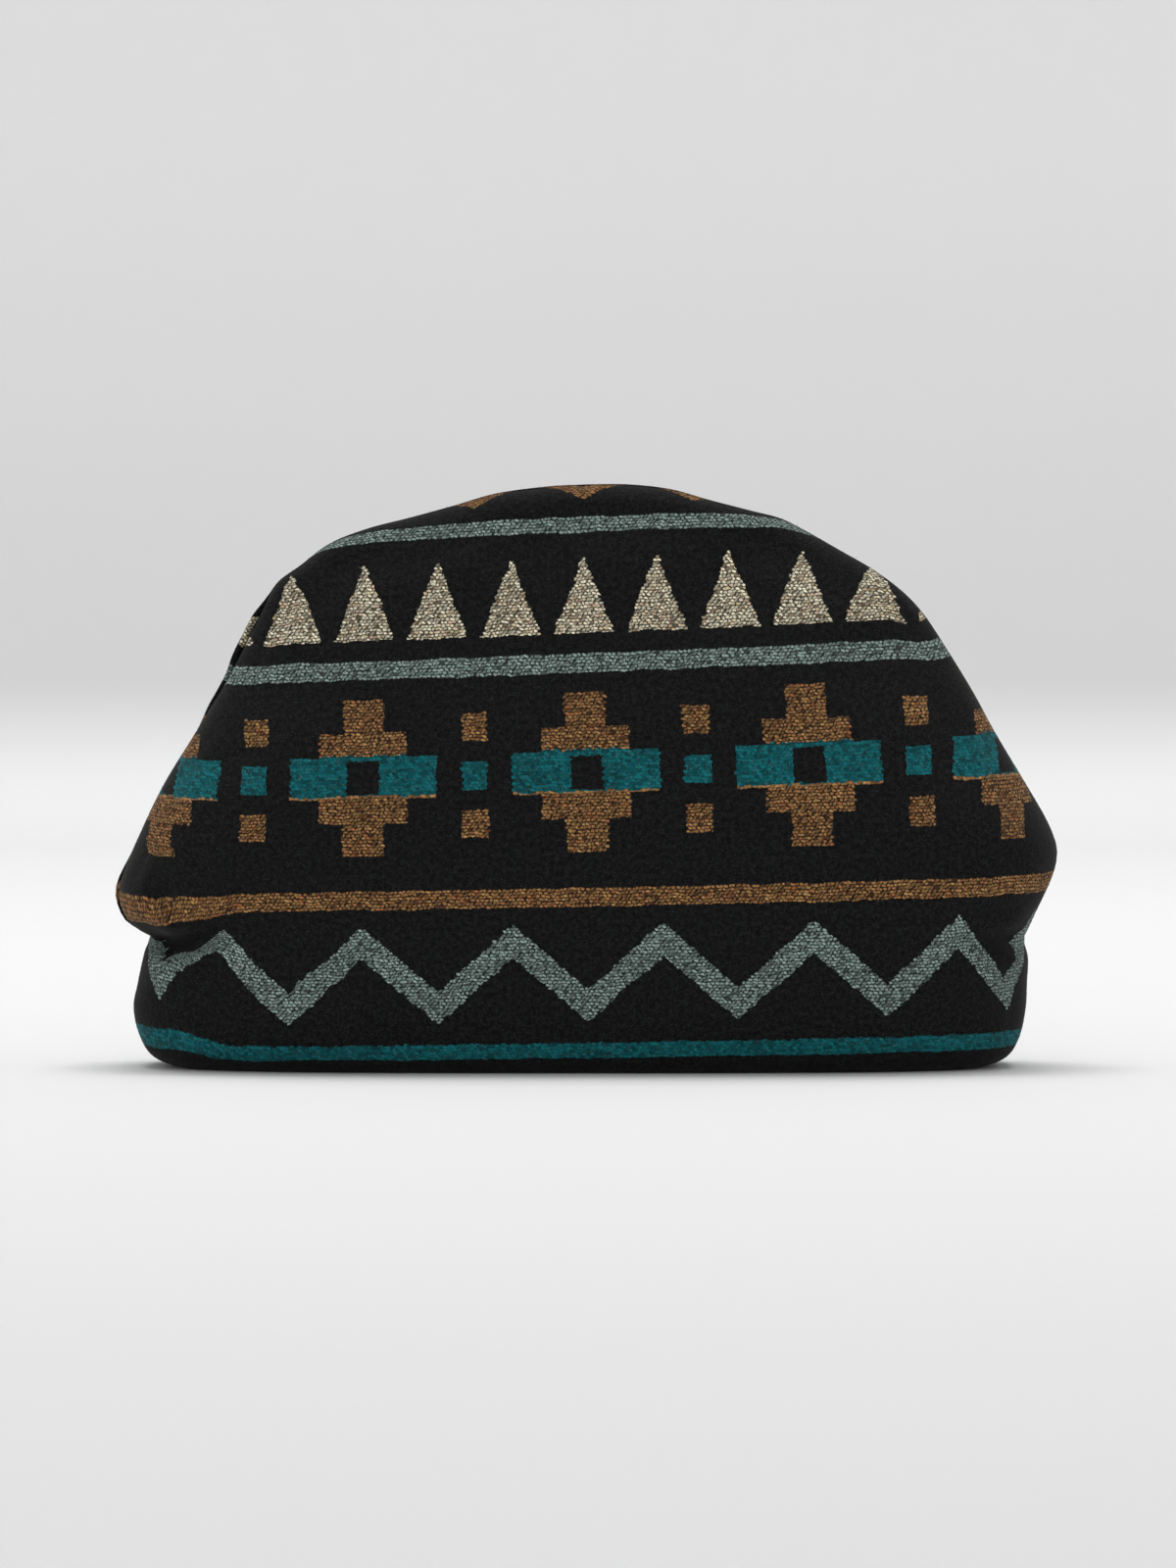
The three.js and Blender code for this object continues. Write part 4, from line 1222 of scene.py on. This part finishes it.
steel = metal("drawn_steel", (186, 188, 190), (140, 140, 140), 0.28, (0.15, 1, 1))
brass = metal("brushed_brass", (196, 160, 98), (140, 108, 62), 0.3, (1, 1, 1))
board = plastic("board_plastic", (46, 46, 48), (26, 26, 28))
FINISH = {
    "front_frame_wire": steel, "back_frame_wire": steel, "left_rivet": steel, "right_rivet": steel,
    "left_hinge_washer": steel, "right_hinge_washer": steel, "stud_backing_plate": steel,
    "socket_backing_plate": steel, "snap_stud": brass, "snap_socket": brass, "base_board": board,
}
for name, material in FINISH.items():
    node = bpy.data.objects[name]
    node.data.materials.clear()
    node.data.materials.append(material)
print("CAD pieces finished:", len(FINISH))

# %% [markdown]
# The light is a plain studio. A large soft box hangs above and behind the bag, so its shadow
# falls towards the viewer. A wide, low one stands in front. It lights the bag's face but only
# grazes the floor, so that shadow stays dark. A third one washes the wall behind.

# %% Studio light, and the sheet's paint with painted light up the wall
def soft_box(name, place, aim, size, power):
    light = bpy.data.lights.new(name, "AREA")
    light.shape, light.size, light.size_y, light.energy = "RECTANGLE", size[0], size[1], power
    box = bpy.data.objects.new(name, light)
    scene.collection.objects.link(box)
    box.location = place
    box.rotation_euler = (Vector(aim) - Vector(place)).to_track_quat("-Z", "Y").to_euler()
    return box


soft_box("overhead", (0.0, 0.9, 3.2), (0, 0.0, 0.0), (2.6, 1.6), 68)
soft_box("front_fill", (-0.6, -4.4, 0.75), (0, 0, 0.12), (3.0, 1.0), 33)
soft_box("wall_wash", (0.0, 2.0, 2.2), (0, 6.4, 1.9), (5.0, 1.5), 38)
world = bpy.data.worlds.new("room")
scene.world = world
world.use_nodes = True
world.node_tree.nodes["Background"].inputs[0].default_value = (0.93, 0.93, 0.93, 1)
world.node_tree.nodes["Background"].inputs[1].default_value = 0.46
paper, s, surface = new_material("studio_paper", 0.9, Specular_IOR_Level=0.1)
place = s.node("ShaderNodeTexCoord").outputs["Object"]
height = s.node("ShaderNodeSeparateXYZ")
s.tree.links.new(place, height.inputs[0])
# painted light: the paper is paler up the wall, so the wall, which gets less light than the floor, looks as
# bright; the noise adds random tone
up = s.add(s.slope(height.outputs[2], 0.0, 0.5), s.line(s.noise(place, 3.0), 0.1, -0.05))
s.tree.links.new(s.mix(up, shade(244, 244, 244), shade(254, 254, 254)), surface.inputs["Base Color"])
floor.data.materials.append(paper)
scene.view_settings.view_transform = "Standard"

# %% [markdown]
# The facings and their stitches, which are held flat to the wires, are tied to the frame
# bodies and turn with them. In the real bag the wool, the linings and the pocket bend between
# the standing base and the tilting frame; here they, the loose fibres and the pocket's stitches
# are tied to no body, and their transforms are baked into their meshes. The CAD stand-ins for
# the wool, linings, facings and pocket are hidden.

# %% Bodies and stand-ins
for side, word in ((-1, "front"), (1, "back")):
    frame_body = f"{word}_frame"
    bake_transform(wool[side])
    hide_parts(f"{word}_shell")
    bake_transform(nap[side])
    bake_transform(linings[side])
    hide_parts(f"{word}_lining")
    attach(facings[side], frame_body)
    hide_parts(f"{word}_facing")
    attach(facing_stitches[side], frame_body)
for piece in (pocket, pocket_stitches):
    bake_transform(piece)
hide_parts("slip_pocket")
print("pieces that bend:", 8)
